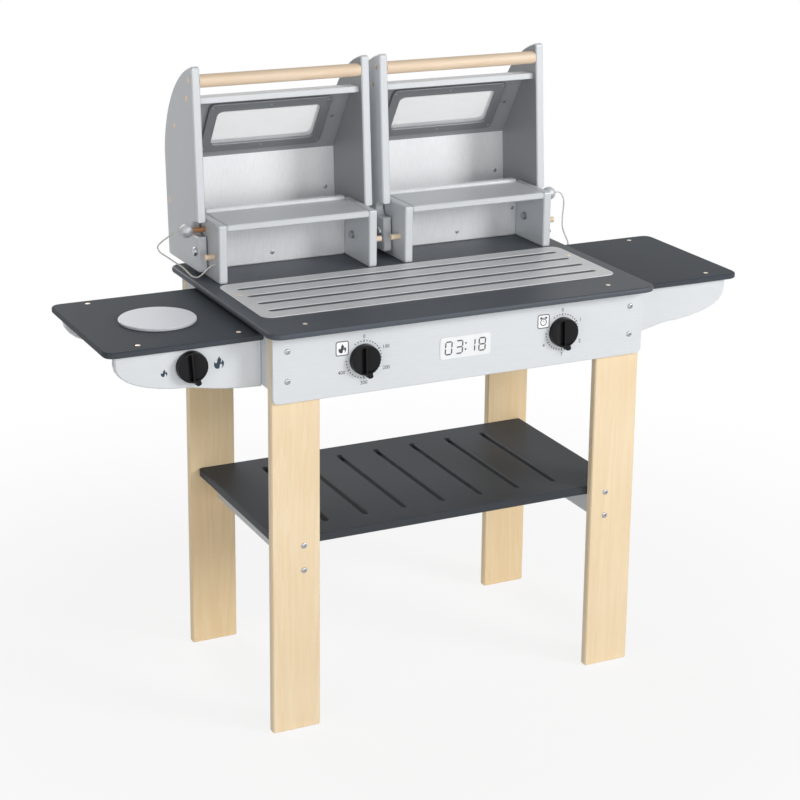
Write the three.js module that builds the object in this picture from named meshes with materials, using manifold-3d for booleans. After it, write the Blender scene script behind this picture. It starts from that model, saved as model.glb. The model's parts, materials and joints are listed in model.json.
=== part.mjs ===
// Toy barbecue grill on four board legs: grill top, two side tables, two utensil racks with hoods,
// a slotted lower shelf, three dials and two tethered lock pegs.
// Millimetres, +Z up, the user stands on the -Y side. X is zero midway between the legs and Y is
// zero on the front face of the front legs until the last lines centre the whole on the origin.
import * as THREE from 'three';
import { mergeVertices } from 'three/addons/utils/BufferGeometryUtils.js';
import Module from 'manifold-3d';

const wasm = await Module();
wasm.setup();

// Boards
const boardThickness = 12;
const topThickness = 8;
const panelThickness = 6;
const boardRound = 1.5;
const boardCornerRadius = 2.4;
const panelRound = 0.8;
const panelCornerRadius = 1.4;
const tabletopRound = 3;
const cutOverrun = 2;
const fitClearance = 0.3;
const curveSegments = 4;
const cornerSegments = 1;
const slotSegments = 3;
const edgeSegments = 1;
const softEdgeSegments = 2;
const roundSides = 40;
const boreSides = 20;

// Legs and aprons
const frameWidth = 540;
const frameDepth = 312;
const legWidth = 67;
const legHeight = 545;
const apronHeight = 90;
const apronCornerRadius = 8;
const sideApronHeight = 74;

// Worktop and grill plate
const sideOverhang = 10;
const frontOverhang = 28;
const rearOverhang = 33;
const tabletopCornerRadius = 18;
const plateWidth = 520;
const plateDepth = 167;
const plateThickness = 1.2;
const plateRound = 0.3;
const plateSetback = 72.5;
const plateCornerRadius = 15;
const plateSlotCount = 4;
const plateSlotLength = 485;
const plateSlotWidth = 11;
const plateSlotPitch = 36;

// Lower shelf
const shelfTopHeight = 265.6;
const shelfWidth = 514;
const shelfCornerRadius = 4;
const shelfSlotCount = 7;
const shelfSlotLength = 217;
const shelfSlotWidth = 7;
const shelfSlotPitch = 57.5;
const railHeight = 38;
const railPitch = 448;

// Side tables: the curve of a side board runs from its outer end, in [reach, drop] pairs
const sideTableDepth = 235;
const sideTableSetback = 22;
const sideTableDrop = 4;
const leftTableWidth = 206;
const rightTableWidth = 175;
const leftBoardLength = 192;
const rightBoardLength = 158;
const sideTableCornerRadius = 15;
const sideBoardOverhang = 8;
const sideBoardDepth = 63;
const sideBoardSegments = 7;
const sideBoardCurve = {
  endDrop: [0, 13],
  endBend: [1, 33],
  lowerBend: [28, 46],
  saddle: [78, 51],
  saddleBend: [110, 51],
  heelBend: [118, 61],
};
const burnerRadius = 50;
const burnerThickness = 4;
const burnerSegments = 24;
const burnerReach = 101;
const burnerSetback = 110;

// Dials
const knobRadius = 20.1;
const knobBaseThickness = 9.5;
const knobTaper = 0.4;
const knobRidgeWidth = 2.4;
const knobScoopDepth = 4.5;
const knobScoopReach = 15;
const knobScoopLength = 34;
const knobTabWidth = 7.2;
const knobTabLength = 9;
const knobTabReach = 25.4;
const knobTabTurn = -0.24;
const knobTabSegments = 2;
const frontKnobTurn = -0.02;
const burnerKnobTurn = -0.08;
const knobShaftRadius = 4;
const knobShaftMargin = 3;
const dialPitch = 290;
const dialDrop = 44.5;
const sideDialReach = 94;
const sideDialDrop = 23.7;
const displayWidth = 74;
const displayHeight = 29;
const displayThickness = 0.8;
const displayCornerRadius = 4;
const displayDrop = 46;

// Utensil racks
const rackWidth = 232;
const rackGap = 43;
const rackDepth = 92;
const rackHeight = 80;
const rackRearInset = 3;
const rackTopThickness = 9;
const rackBackRise = 4;

// Hood hinge, stop dowels and lock pegs
const pivotInset = 54.5;
const pivotHeight = 34.5;
const boltRadius = 3;
const boltHeadRadius = 6.5;
const boltHeadThickness = 3;
const boltNutRadius = 5.5;
const boltNutThickness = 4;
const stopReach = 36.5;
const stopRadius = 4;
const stopInset = 8;
const stopProud = 0.5;
const pegForward = 1.5;
const pegRise = 30;
const pegRadius = 3.5;
const pegInset = 4.5;
const ballRadius = 9.6;
const ballGap = 3.4;
const cordRadius = 1;
const cordHoleRadius = 1.6;
const cordHoleDepth = 6;
const cordSides = 8;
const cordSteps = 44;

// Hoods
const hoodWidth = 259;
const hoodGap = 16;
const hoodLean = THREE.MathUtils.degToRad(4.2);
const cheekReach = 14;
const cheekDepth = 121;
const cheekTop = 249.5;
const cheekFrontDrop = 27.5;
const cheekRearDrop = 20.5;
const cheekArcStart = 129;
const cheekArcRadius = 146;
const cheekCornerRadius = 5;
const cheekSegments = 9;
const notchCentre = 31;
const notchWidth = 19.5;
const notchDepth = 23.5;
const handleRadius = 9;
const handleDrop = 20;
const hoodTopSetback = 9;
const hoodTopDepth = 29;
const hoodTopThickness = 8.5;
const hoodTopDrop = 42.4;
const hoodBackInset = 10;
const hoodBackThickness = 9;
const hoodBackDrop = 18;
const windowSlope = THREE.MathUtils.degToRad(52.4);
const windowWidth = 153;
const windowHeight = 62;
const windowDrop = 48;
const windowCornerRadius = 8;
const windowBorder = 14;
const windowFrameThickness = 4;
const paneThickness = 1.5;
const paneBorder = 6;

// Tether routes, one point after another from the ball to the hole in the rack
const leftTetherRoute = [
  [-285, 270, 617.5], [-289.5, 270, 617.5], [-295, 275, 615.5], [-301, 288, 606], [-305, 301, 597],
  [-307, 310, 588], [-304, 309, 581.5], [-299, 299, 577.5], [-293, 283, 573], [-287, 266, 568.5],
  [-283, 256, 563], [-279.5, 248.5, 559.3], [-275, 241.5, 560], [-270, 237, 565], [-264, 235, 571.2],
  [-258.2, 234.5, 575.6], [-253.5, 234.5, 576.5], [-247.8, 234.5, 576.5],
];
const rightTetherRoute = [
  [285, 270, 617.5], [289.5, 270, 617.5], [295.5, 270, 618.2], [301, 270, 615], [305, 270, 607],
  [306, 270, 599], [305, 270, 588], [304.2, 270, 577], [304.4, 270, 568], [306.5, 270, 559],
  [311.5, 270.5, 548], [316.5, 272, 538], [315, 277, 529.5], [306, 283, 525], [295, 288, 528],
  [287, 290, 537], [282.3, 289, 548], [277.5, 284, 556.8], [273.5, 274, 559.8], [271.5, 261, 562],
  [270, 249, 565], [267, 240.5, 569], [262.5, 236, 573.2], [258, 234.6, 575.8], [253.5, 234.5, 576.5],
  [247.8, 234.5, 576.5],
];
const tetherHoleInset = 17.5;
const tetherHoleRise = 23.5;

// Sizes that follow from the ones above
const halfFrame = frameWidth / 2;
const tabletopHeight = legHeight + topThickness;
const sideTopHeight = legHeight - sideTableDrop;
const sideUnderside = sideTopHeight - topThickness;
const rackFront = frameDepth - rackRearInset - rackDepth;
const pivotDepth = rackFront + pivotInset;
const pivotZ = tabletopHeight + pivotHeight;
const rackInnerX = rackGap / 2;
const rackOuterX = rackInnerX + rackWidth;
const hoodInnerX = hoodGap / 2;
const hoodInnerWidth = hoodWidth - 2 * boardThickness;
const cheekRear = cheekDepth - cheekReach;
const backInner = cheekRear - hoodBackInset - hoodBackThickness;
const backOuter = cheekRear - hoodBackInset;

function metal(color) {
  return new THREE.MeshStandardMaterial({ color, roughness: 0.42, metalness: 0.35 });
}

function paint(color) {
  return new THREE.MeshStandardMaterial({ color, roughness: 0.55, metalness: 0 });
}

const silver = metal(0xd3d6d9);
const silverShade = metal(0xa6a8aa);
const plateSilver = metal(0xb9bbbc);
const slate = paint(0x555a5f);
const shelfSlate = paint(0x3c3c3f);
const birch = paint(0xeed9b4);
const beech = paint(0xeacfa4);
const pegBrown = paint(0xbe6e41);
const knobBlack = paint(0x232324);
const displayWhite = paint(0xf2f3f4);
const steel = new THREE.MeshStandardMaterial({ color: 0xc4c7ca, roughness: 0.3, metalness: 1 });
const cordWhite = paint(0xe9e4da);
const paneClear = new THREE.MeshStandardMaterial({
  color: 0xe8ecee, roughness: 0.05, metalness: 0, transparent: true, opacity: 0.3,
});

const grill = new THREE.Group();
const parts = new THREE.Group();
grill.add(parts);
const uncounted = [];

function put(parent, name, geometry, material, x, y, z) {
  const mesh = new THREE.Mesh(geometry, material);
  mesh.name = name;
  mesh.position.set(x, y, z);
  parent.add(mesh);
  return mesh;
}

// Closed outlines
function roundedRect(width, height, radius) {
  const shape = new THREE.Shape();
  const x = width / 2;
  const y = height / 2;
  shape.moveTo(-x + radius, -y);
  shape.lineTo(x - radius, -y);
  shape.absarc(x - radius, -y + radius, radius, -Math.PI / 2, 0, false);
  shape.absarc(x - radius, y - radius, radius, 0, Math.PI / 2, false);
  shape.absarc(-x + radius, y - radius, radius, Math.PI / 2, Math.PI, false);
  shape.absarc(-x + radius, -y + radius, radius, Math.PI, (3 * Math.PI) / 2, false);
  return shape;
}

function slot(length, width, x, y) {
  const path = new THREE.Path();
  const half = (length - width) / 2;
  const radius = width / 2;
  path.absarc(x + half, y, radius, -Math.PI / 2, Math.PI / 2, false);
  path.absarc(x - half, y, radius, Math.PI / 2, (3 * Math.PI) / 2, false);
  return path;
}

function uprightSlot(length, width, x, y) {
  const path = new THREE.Path();
  const half = (length - width) / 2;
  const radius = width / 2;
  path.absarc(x, y + half, radius, 0, Math.PI, false);
  path.absarc(x, y - half, radius, Math.PI, 2 * Math.PI, false);
  return path;
}

function roundHole(x, y, radius) {
  const path = new THREE.Path();
  path.absarc(x, y, radius, 0, Math.PI, false);
  path.absarc(x, y, radius, Math.PI, 2 * Math.PI, false);
  return path;
}

function polygon(points) {
  return new THREE.Shape(points.map(([x, y]) => new THREE.Vector2(x, y)));
}

// Boards: an outline with softened edges, lying flat, facing the user, or standing side-on
function lying(outline, thickness, options = {}) {
  const { round = boardRound, segments = curveSegments, steps = edgeSegments } = options;
  const geometry = new THREE.ExtrudeGeometry(outline, {
    depth: thickness - 2 * round, bevelEnabled: true, bevelThickness: round, bevelSize: round,
    bevelOffset: -round, bevelSegments: steps, curveSegments: segments,
  });
  return geometry.translate(0, 0, round);
}

function facing(outline, thickness, options) {
  return lying(outline, thickness, options).rotateX(Math.PI / 2).translate(0, thickness, 0);
}

function sideOn(outline, thickness, options) {
  return lying(outline, thickness, options).rotateX(Math.PI / 2).rotateZ(Math.PI / 2);
}

// A plain board's outline and how finely its corners are drawn
function plain(width, height) {
  return roundedRect(width, height, boardCornerRadius);
}

const coarse = { segments: cornerSegments };
const thin = { round: panelRound };

// Turned pieces: a profile of [radius, height] pairs, with its axis along X
function turned(profile) {
  const points = profile.map(([r, h]) => new THREE.Vector2(r, h));
  return new THREE.LatheGeometry(points, boreSides).rotateZ(-Math.PI / 2);
}

function rod(radius, length, sides = boreSides) {
  return new THREE.CylinderGeometry(radius, radius, length, sides).rotateZ(Math.PI / 2);
}

// Booleans on closed geometries
function toManifold(geometry) {
  const plain = geometry.clone();
  plain.deleteAttribute('normal');
  plain.deleteAttribute('uv');
  const merged = mergeVertices(plain);
  return new wasm.Manifold(new wasm.Mesh({
    numProp: 3,
    vertProperties: new Float32Array(merged.attributes.position.array),
    triVerts: new Uint32Array(merged.index.array),
  }));
}

function fromManifold(solid) {
  const mesh = solid.getMesh();
  const geometry = new THREE.BufferGeometry();
  geometry.setAttribute('position', new THREE.BufferAttribute(new Float32Array(mesh.vertProperties), 3));
  geometry.setIndex(new THREE.BufferAttribute(new Uint32Array(mesh.triVerts), 1));
  geometry.computeVertexNormals();
  return geometry;
}

function cut(geometry, cutters) {
  const solid = cutters.reduce((rest, cutter) => rest.subtract(toManifold(cutter)), toManifold(geometry));
  return fromManifold(solid);
}

function join(geometries) {
  return fromManifold(geometries.map(toManifold).reduce((sum, next) => sum.add(next)));
}

// Legs
function addLegs() {
  const outline = plain(legWidth, legHeight);
  const x = halfFrame - legWidth / 2;
  const rows = { front: 0, rear: frameDepth - boardThickness };
  for (const [row, y] of Object.entries(rows)) {
    put(parts, `leg_${row}_left`, facing(outline, boardThickness, coarse), birch, -x, y, legHeight / 2);
    put(parts, `leg_${row}_right`, facing(outline, boardThickness, coarse), birch, x, y, legHeight / 2);
  }
}

// Aprons: the front one is the control panel
function apronOutline() {
  const shape = new THREE.Shape();
  shape.moveTo(-halfFrame, 0);
  shape.lineTo(-halfFrame, -apronHeight + apronCornerRadius);
  shape.absarc(-halfFrame + apronCornerRadius, -apronHeight + apronCornerRadius, apronCornerRadius,
    Math.PI, (3 * Math.PI) / 2, false);
  shape.absarc(halfFrame - apronCornerRadius, -apronHeight + apronCornerRadius, apronCornerRadius,
    (3 * Math.PI) / 2, 2 * Math.PI, false);
  shape.lineTo(halfFrame, 0);
  return shape;
}

function addAprons() {
  const front = apronOutline();
  for (const side of [-1, 1]) {
    front.holes.push(roundHole((side * dialPitch) / 2, -dialDrop, knobShaftRadius + fitClearance));
  }
  put(parts, 'control_panel', facing(front, panelThickness, thin), silver, 0, -panelThickness, legHeight);
  put(parts, 'rear_apron', facing(apronOutline(), panelThickness, thin), silver, 0, frameDepth, legHeight);
  const length = frameDepth - 2 * boardThickness;
  const outline = plain(length, sideApronHeight);
  const z = legHeight - sideApronHeight / 2;
  put(parts, 'side_apron_left', sideOn(outline, boardThickness, coarse), silver,
    -halfFrame, frameDepth / 2, z);
  put(parts, 'side_apron_right', sideOn(outline, boardThickness, coarse), silver,
    halfFrame - boardThickness, frameDepth / 2, z);
}

// Worktop with its slotted grill plate
function addWorktop() {
  const width = frameWidth + 2 * sideOverhang;
  const depth = frameDepth + frontOverhang + rearOverhang;
  const soft = { round: tabletopRound, steps: softEdgeSegments };
  put(parts, 'tabletop', lying(roundedRect(width, depth, tabletopCornerRadius), topThickness, soft),
    slate, 0, depth / 2 - frontOverhang, legHeight);
  const plate = roundedRect(plateWidth, plateDepth, plateCornerRadius);
  for (let i = 0; i < plateSlotCount; i += 1) {
    const y = (i - (plateSlotCount - 1) / 2) * plateSlotPitch;
    plate.holes.push(slot(plateSlotLength, plateSlotWidth, 0, y));
  }
  const sheet = lying(plate, plateThickness, { round: plateRound, segments: slotSegments });
  const middle = plateSetback - frontOverhang + plateDepth / 2;
  put(parts, 'grill_plate', sheet, plateSilver, 0, middle, tabletopHeight);
}

// Slotted lower shelf on two rails between the legs
function addShelf() {
  const depth = frameDepth - 2 * boardThickness;
  const shelf = roundedRect(shelfWidth, depth, shelfCornerRadius);
  for (let i = 0; i < shelfSlotCount; i += 1) {
    const x = (i - (shelfSlotCount - 1) / 2) * shelfSlotPitch;
    shelf.holes.push(uprightSlot(shelfSlotLength, shelfSlotWidth, x, 0));
  }
  const z = shelfTopHeight - boardThickness;
  put(parts, 'lower_shelf', lying(shelf, boardThickness, { segments: slotSegments }), shelfSlate,
    0, frameDepth / 2, z);
  const rail = plain(depth, railHeight);
  const names = { shelf_rail_left: -1, shelf_rail_right: 1 };
  for (const [name, side] of Object.entries(names)) {
    put(parts, name, sideOn(rail, boardThickness, coarse), silver,
      (side * railPitch) / 2 - boardThickness / 2, frameDepth / 2, z - railHeight / 2);
  }
}

// Side tables: a top on two shaped boards that meet the side apron
function sideTopOutline(width, side) {
  const half = sideTableDepth / 2;
  const radius = sideTableCornerRadius;
  const shape = new THREE.Shape();
  shape.moveTo(0, -half);
  shape.lineTo(side * (width - radius), -half);
  shape.quadraticCurveTo(side * width, -half, side * width, -half + radius);
  shape.lineTo(side * width, half - radius);
  shape.quadraticCurveTo(side * width, half, side * (width - radius), half);
  shape.lineTo(0, half);
  return shape;
}

function sideBoardOutline(length, side) {
  const at = ([reach, drop]) => [side * (length - reach), -drop];
  const { endDrop, endBend, lowerBend, saddle, saddleBend, heelBend } = sideBoardCurve;
  const shape = new THREE.Shape();
  shape.moveTo(0, 0);
  shape.lineTo(side * length, 0);
  shape.lineTo(...at(endDrop));
  shape.bezierCurveTo(...at(endBend), ...at(lowerBend), ...at(saddle));
  shape.bezierCurveTo(...at(saddleBend), ...at(heelBend), 0, -sideBoardDepth);
  return shape;
}

function addSideTable(name, width, boardLength, side) {
  const x = side * halfFrame;
  const middle = sideTableSetback + sideTableDepth / 2;
  put(parts, `${name}_table_top`, lying(sideTopOutline(width, side), topThickness), slate,
    x, middle, sideUnderside);
  const front = sideBoardOutline(boardLength, side);
  if (side < 0) {
    front.holes.push(roundHole(-sideDialReach, -sideDialDrop, knobShaftRadius + fitClearance));
  }
  const rear = sideBoardOutline(boardLength, side);
  const frontY = sideTableSetback + sideBoardOverhang;
  const rearY = sideTableSetback + sideTableDepth - sideBoardOverhang - boardThickness;
  const fine = { segments: sideBoardSegments };
  put(parts, `${name}_table_front_board`, facing(front, boardThickness, fine), silver,
    x, frontY, sideUnderside);
  put(parts, `${name}_table_rear_board`, facing(rear, boardThickness, fine), silver,
    x, rearY, sideUnderside);
}

function addBurner() {
  const disc = new THREE.Shape();
  disc.absarc(0, 0, burnerRadius, 0, 2 * Math.PI, false);
  const plate = lying(disc, burnerThickness, { round: panelRound, segments: burnerSegments });
  put(parts, 'burner_disc', plate, silver,
    -halfFrame - burnerReach, sideTableSetback + burnerSetback, sideTopHeight);
}

// Dials: a disc with two scoops that leave a ridge, a pointer tab, and a stub shaft through its panel
function scoop(side) {
  const near = (side * knobRidgeWidth) / 2;
  const far = near + side * knobScoopReach;
  const face = -knobBaseThickness;
  const outline = polygon([
    [near, face - cutOverrun], [near, face + knobScoopDepth], [far, face], [far, face - cutOverrun],
  ]);
  return new THREE.ExtrudeGeometry(outline, { depth: knobScoopLength, bevelEnabled: false })
    .translate(0, 0, -knobScoopLength / 2);
}

function knobGeometry(panel, turn) {
  const disc = new THREE.CylinderGeometry(knobRadius, knobRadius - knobTaper, knobBaseThickness, roundSides)
    .translate(0, -knobBaseThickness / 2, 0);
  const outline = roundedRect(knobTabWidth, knobTabLength, knobTabWidth / 3);
  const tab = facing(outline, knobBaseThickness, { round: panelRound, segments: knobTabSegments })
    .translate(0, -knobBaseThickness, knobTabLength / 2 - knobTabReach)
    .rotateY(knobTabTurn);
  const shaftEnd = fitClearance + panel + knobShaftMargin;
  const shaftLength = shaftEnd + cutOverrun;
  const shaft = new THREE.CylinderGeometry(knobShaftRadius, knobShaftRadius, shaftLength, boreSides)
    .translate(0, shaftLength / 2 - cutOverrun, 0);
  return join([cut(disc, [scoop(-1), scoop(1)]), tab, shaft]).rotateY(turn);
}

function addDials() {
  const z = legHeight - dialDrop;
  const y = -panelThickness - fitClearance;
  const x = dialPitch / 2;
  put(parts, 'oven_dial', knobGeometry(panelThickness, frontKnobTurn), knobBlack, -x, y, z);
  put(parts, 'timer_dial', knobGeometry(panelThickness, frontKnobTurn), knobBlack, x, y, z);
  put(parts, 'burner_dial', knobGeometry(boardThickness, burnerKnobTurn), knobBlack,
    -halfFrame - sideDialReach, sideTableSetback + sideBoardOverhang - fitClearance,
    sideUnderside - sideDialDrop);
  const outline = roundedRect(displayWidth, displayHeight, displayCornerRadius);
  const display = facing(outline, displayThickness, { round: displayThickness / 4 });
  put(parts, 'display_plate', display, displayWhite,
    0, -panelThickness - displayThickness, legHeight - displayDrop);
}

// Utensil racks: end panels, top and back boards, and the stop dowels
function endPanelGeometry(side, holds) {
  const centreY = rackFront + rackDepth / 2;
  const centreZ = tabletopHeight + rackHeight / 2;
  const outer = side < 0 ? 0 : boardThickness;
  const blind = (radius, depth, y, z) => rod(radius, 2 * depth).translate(outer, y - centreY, z - centreZ);
  const cutters = [
    blind(boltRadius + fitClearance, boardThickness + cutOverrun, pivotDepth, pivotZ),
    blind(stopRadius + fitClearance / 2, stopInset + fitClearance, pivotDepth - stopReach, pivotZ),
  ];
  if (holds.peg) {
    const seat = { radius: pegRadius + fitClearance, depth: pegInset + fitClearance };
    cutters.push(blind(seat.radius, seat.depth, pivotDepth - pegForward, pivotZ + pegRise));
    const cord = { y: rackFront + tetherHoleInset, z: tabletopHeight + tetherHoleRise };
    cutters.push(blind(cordHoleRadius, cordHoleDepth, cord.y, cord.z));
  }
  return cut(sideOn(plain(rackDepth, rackHeight), boardThickness, coarse), cutters);
}

function addRack(name, side) {
  const centreY = rackFront + rackDepth / 2;
  const centreZ = tabletopHeight + rackHeight / 2;
  const ends = {
    outer: { face: side * rackOuterX, outward: side, peg: true, reach: hoodInnerX + hoodWidth - rackOuterX },
    inner: { face: side * rackInnerX, outward: -side, peg: false, reach: rackInnerX - hoodInnerX },
  };
  for (const [end, { face, outward, peg, reach }] of Object.entries(ends)) {
    const x = outward < 0 ? face : face - boardThickness;
    put(parts, `${name}_rack_${end}_end`, endPanelGeometry(outward, { peg }), silverShade,
      x, centreY, centreZ);
    const length = stopInset + reach + stopProud;
    const middle = face + outward * (length / 2 - stopInset);
    put(parts, `${name}_stop_dowel_${end}`, rod(stopRadius, length), beech,
      middle, pivotDepth - stopReach, pivotZ);
  }
  const innerWidth = rackWidth - 2 * boardThickness;
  const middleX = side * (rackInnerX + rackWidth / 2);
  const topDepth = rackDepth - boardThickness;
  put(parts, `${name}_rack_top`, lying(plain(innerWidth, topDepth), rackTopThickness, coarse),
    silverShade, middleX, rackFront + topDepth / 2, tabletopHeight + rackHeight - rackTopThickness);
  const backHeight = rackHeight + rackBackRise;
  put(parts, `${name}_rack_back`, facing(plain(innerWidth, backHeight), boardThickness, coarse),
    silver, middleX, rackFront + topDepth, tabletopHeight + backHeight / 2);
}

// Hood cheeks: straight front edge with the lock notch, and a curved back and top
function cheekOutline() {
  const left = -cheekReach;
  const notchRadius = notchWidth / 2;
  const notchEnd = left + notchDepth - notchRadius;
  const start = new THREE.Vector2(cheekRear, cheekArcStart);
  const end = new THREE.Vector2(left + cheekCornerRadius, cheekTop);
  const chord = end.clone().sub(start);
  const middle = start.clone().add(end).divideScalar(2);
  const toCentre = Math.sqrt(cheekArcRadius ** 2 - chord.lengthSq() / 4);
  const inward = new THREE.Vector2(chord.y, -chord.x).normalize().negate();
  const centre = middle.addScaledVector(inward, toCentre);
  const startAngle = Math.atan2(start.y - centre.y, start.x - centre.x);
  const endAngle = Math.atan2(end.y - centre.y, end.x - centre.x);
  const shape = new THREE.Shape();
  shape.moveTo(left + cheekCornerRadius, -cheekFrontDrop);
  shape.lineTo(cheekRear - cheekCornerRadius, -cheekRearDrop);
  shape.quadraticCurveTo(cheekRear, -cheekRearDrop, cheekRear, -cheekRearDrop + cheekCornerRadius);
  shape.lineTo(start.x, start.y);
  shape.absarc(centre.x, centre.y, cheekArcRadius, startAngle, endAngle, false);
  shape.quadraticCurveTo(left, cheekTop, left, cheekTop - cheekCornerRadius);
  shape.lineTo(left, notchCentre + notchRadius);
  shape.absarc(notchEnd, notchCentre, notchRadius, Math.PI / 2, -Math.PI / 2, true);
  shape.lineTo(left, notchCentre - notchRadius);
  shape.lineTo(left, -cheekFrontDrop + cheekCornerRadius);
  shape.quadraticCurveTo(left, -cheekFrontDrop, left + cheekCornerRadius, -cheekFrontDrop);
  shape.holes.push(roundHole(0, 0, boltRadius + fitClearance));
  return shape;
}

// Height of the window panel's inner face at a distance behind the pivot
const topInner = -cheekReach + hoodTopSetback + hoodTopDepth;
const topUnderside = cheekTop - hoodTopDrop - hoodTopThickness;
const windowRise = Math.tan(windowSlope);
const windowPanelHeight = hoodTopThickness + boardRound;

function windowLine(u) {
  return topUnderside - (u - topInner) * windowRise - boardRound;
}

function addWindow(hood, name) {
  const profile = polygon([
    [topInner, windowLine(topInner)],
    [backOuter, windowLine(backOuter)],
    [backOuter, windowLine(backOuter) + windowPanelHeight],
    [topInner, windowLine(topInner) + windowPanelHeight],
  ]);
  const slope = new THREE.Group();
  const along = windowDrop * Math.cos(windowSlope);
  slope.position.set(0, topInner + along, windowLine(topInner + along) - fitClearance);
  slope.rotation.x = Math.PI - windowSlope;
  slope.updateMatrix();
  const light = roundedRect(windowWidth, windowHeight, windowCornerRadius);
  const opening = lying(light, 2 * windowPanelHeight, thin)
    .translate(0, 0, -windowPanelHeight - cutOverrun).applyMatrix4(slope.matrix);
  const panel = sideOn(profile, hoodInnerWidth, thin).translate(-hoodInnerWidth / 2, 0, 0);
  put(hood, `${name}_hood_window_panel`, cut(panel, [opening]), silverShade, 0, 0, 0);
  hood.add(slope);
  const frameWide = windowWidth + 2 * windowBorder;
  const frameOutline = roundedRect(frameWide, windowHeight + 2 * windowBorder, windowCornerRadius);
  frameOutline.holes.push(roundedRect(windowWidth, windowHeight, windowCornerRadius));
  const paneWidth = windowWidth + 2 * paneBorder;
  const paneHeight = windowHeight + 2 * paneBorder;
  const pocketWidth = paneWidth + 2 * fitClearance;
  const pocketHeight = paneHeight + 2 * fitClearance;
  const pocketDepth = paneThickness + fitClearance;
  const pocket = new THREE.BoxGeometry(pocketWidth, pocketHeight, 2 * pocketDepth);
  put(slope, `${name}_hood_window_frame`, cut(lying(frameOutline, windowFrameThickness, thin), [pocket]),
    slate, 0, 0, 0);
  const pane = new THREE.BoxGeometry(paneWidth, paneHeight, paneThickness);
  put(slope, `${name}_hood_window_pane`, pane, paneClear, 0, 0, paneThickness / 2);
}

function addHood(name, side) {
  const hood = new THREE.Group();
  hood.position.set(side * (hoodInnerX + hoodWidth / 2), pivotDepth, pivotZ);
  hood.rotation.x = -hoodLean;
  parts.add(hood);
  const cheeks = { outer: side, inner: -side };
  for (const [place, outward] of Object.entries(cheeks)) {
    const x = outward < 0 ? -hoodWidth / 2 : hoodWidth / 2 - boardThickness;
    const cheek = sideOn(cheekOutline(), boardThickness, { segments: cheekSegments });
    put(hood, `${name}_hood_${place}_cheek`, cheek, silverShade, x, 0, 0);
  }
  const back = polygon([
    [backInner, -hoodBackDrop], [backOuter, -hoodBackDrop],
    [backOuter, windowLine(backOuter) - fitClearance], [backInner, windowLine(backInner) - fitClearance],
  ]);
  put(hood, `${name}_hood_back`, sideOn(back, hoodInnerWidth, thin), silver, -hoodInnerWidth / 2, 0, 0);
  const top = roundedRect(hoodInnerWidth, hoodTopDepth, panelCornerRadius);
  put(hood, `${name}_hood_top`, lying(top, hoodTopThickness, { round: panelRound, segments: cornerSegments }),
    silver, 0, topInner - fitClearance - hoodTopDepth / 2, topUnderside);
  addWindow(hood, name);
  put(hood, `${name}_hood_handle`, rod(handleRadius, hoodInnerWidth, roundSides), beech,
    0, -cheekReach + handleRadius, cheekTop - handleDrop);
}

// Pivot bolts: head outside the cheek, shank through cheek and rack, nut inside the rack
function addBolts(name, side) {
  const cheekFace = hoodInnerX + hoodWidth - (rackInnerX + rackWidth);
  const grip = fitClearance + cheekFace + boardThickness + fitClearance;
  const profile = [
    [0, 0], [boltNutRadius, 0], [boltNutRadius, boltNutThickness], [boltRadius, boltNutThickness],
    [boltRadius, boltNutThickness + grip], [boltHeadRadius, boltNutThickness + grip],
    [boltHeadRadius - boltHeadThickness / 2, boltNutThickness + grip + boltHeadThickness],
    [0, boltNutThickness + grip + boltHeadThickness],
  ];
  const ends = {
    outer: { nutX: side * (rackOuterX - boardThickness - fitClearance), outward: side },
    inner: { nutX: side * (rackInnerX + boardThickness + fitClearance), outward: -side },
  };
  for (const [place, { nutX, outward }] of Object.entries(ends)) {
    const geometry = turned(profile);
    if (outward < 0) {
      geometry.rotateY(Math.PI);
    }
    put(parts, `${name}_pivot_bolt_${place}`, geometry, steel,
      nutX - outward * boltNutThickness, pivotDepth, pivotZ);
  }
}

// Lock peg: a dowel glued in a ball, which passes the notch into the rack
function pegGeometry() {
  const ballCentre = pegInset + hoodInnerX + hoodWidth - rackOuterX + ballGap + ballRadius;
  const boreDepth = ballRadius / 2;
  const profile = [[0, 0], [pegRadius - boardRound / 2, 0], [pegRadius, boardRound / 2]];
  const first = Math.asin(pegRadius / ballRadius);
  const last = Math.PI - Math.asin(cordHoleRadius / ballRadius);
  for (let i = 0; i <= boreSides / 2; i += 1) {
    const angle = first + ((last - first) * i) / (boreSides / 2);
    profile.push([ballRadius * Math.sin(angle), ballCentre - ballRadius * Math.cos(angle)]);
  }
  const mouth = ballCentre + ballRadius * Math.cos(Math.PI - last);
  profile.push([cordHoleRadius, mouth - boreDepth], [0, mouth - boreDepth]);
  return turned(profile);
}

function addPeg(name, side) {
  const geometry = pegGeometry();
  if (side < 0) {
    geometry.rotateY(Math.PI);
  }
  put(parts, `${name}_lock_peg`, geometry, silver, side * (rackOuterX - pegInset),
    pivotDepth - pegForward, pivotZ + pegRise);
}

function addTether(name, route) {
  const points = route.map((point) => new THREE.Vector3(...point));
  const curve = new THREE.CatmullRomCurve3(points, false, 'centripetal');
  const section = new THREE.Shape();
  for (let i = 0; i < cordSides; i += 1) {
    const angle = (2 * Math.PI * i) / cordSides;
    const place = [cordRadius * Math.cos(angle), cordRadius * Math.sin(angle)];
    if (i === 0) {
      section.moveTo(...place);
    } else {
      section.lineTo(...place);
    }
  }
  section.closePath();
  const sweep = { steps: cordSteps, extrudePath: curve, curveSegments: 1 };
  const geometry = new THREE.ExtrudeGeometry(section, sweep);
  uncounted.push(put(parts, `${name}_tether`, geometry, cordWhite, 0, 0, 0));
}

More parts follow.
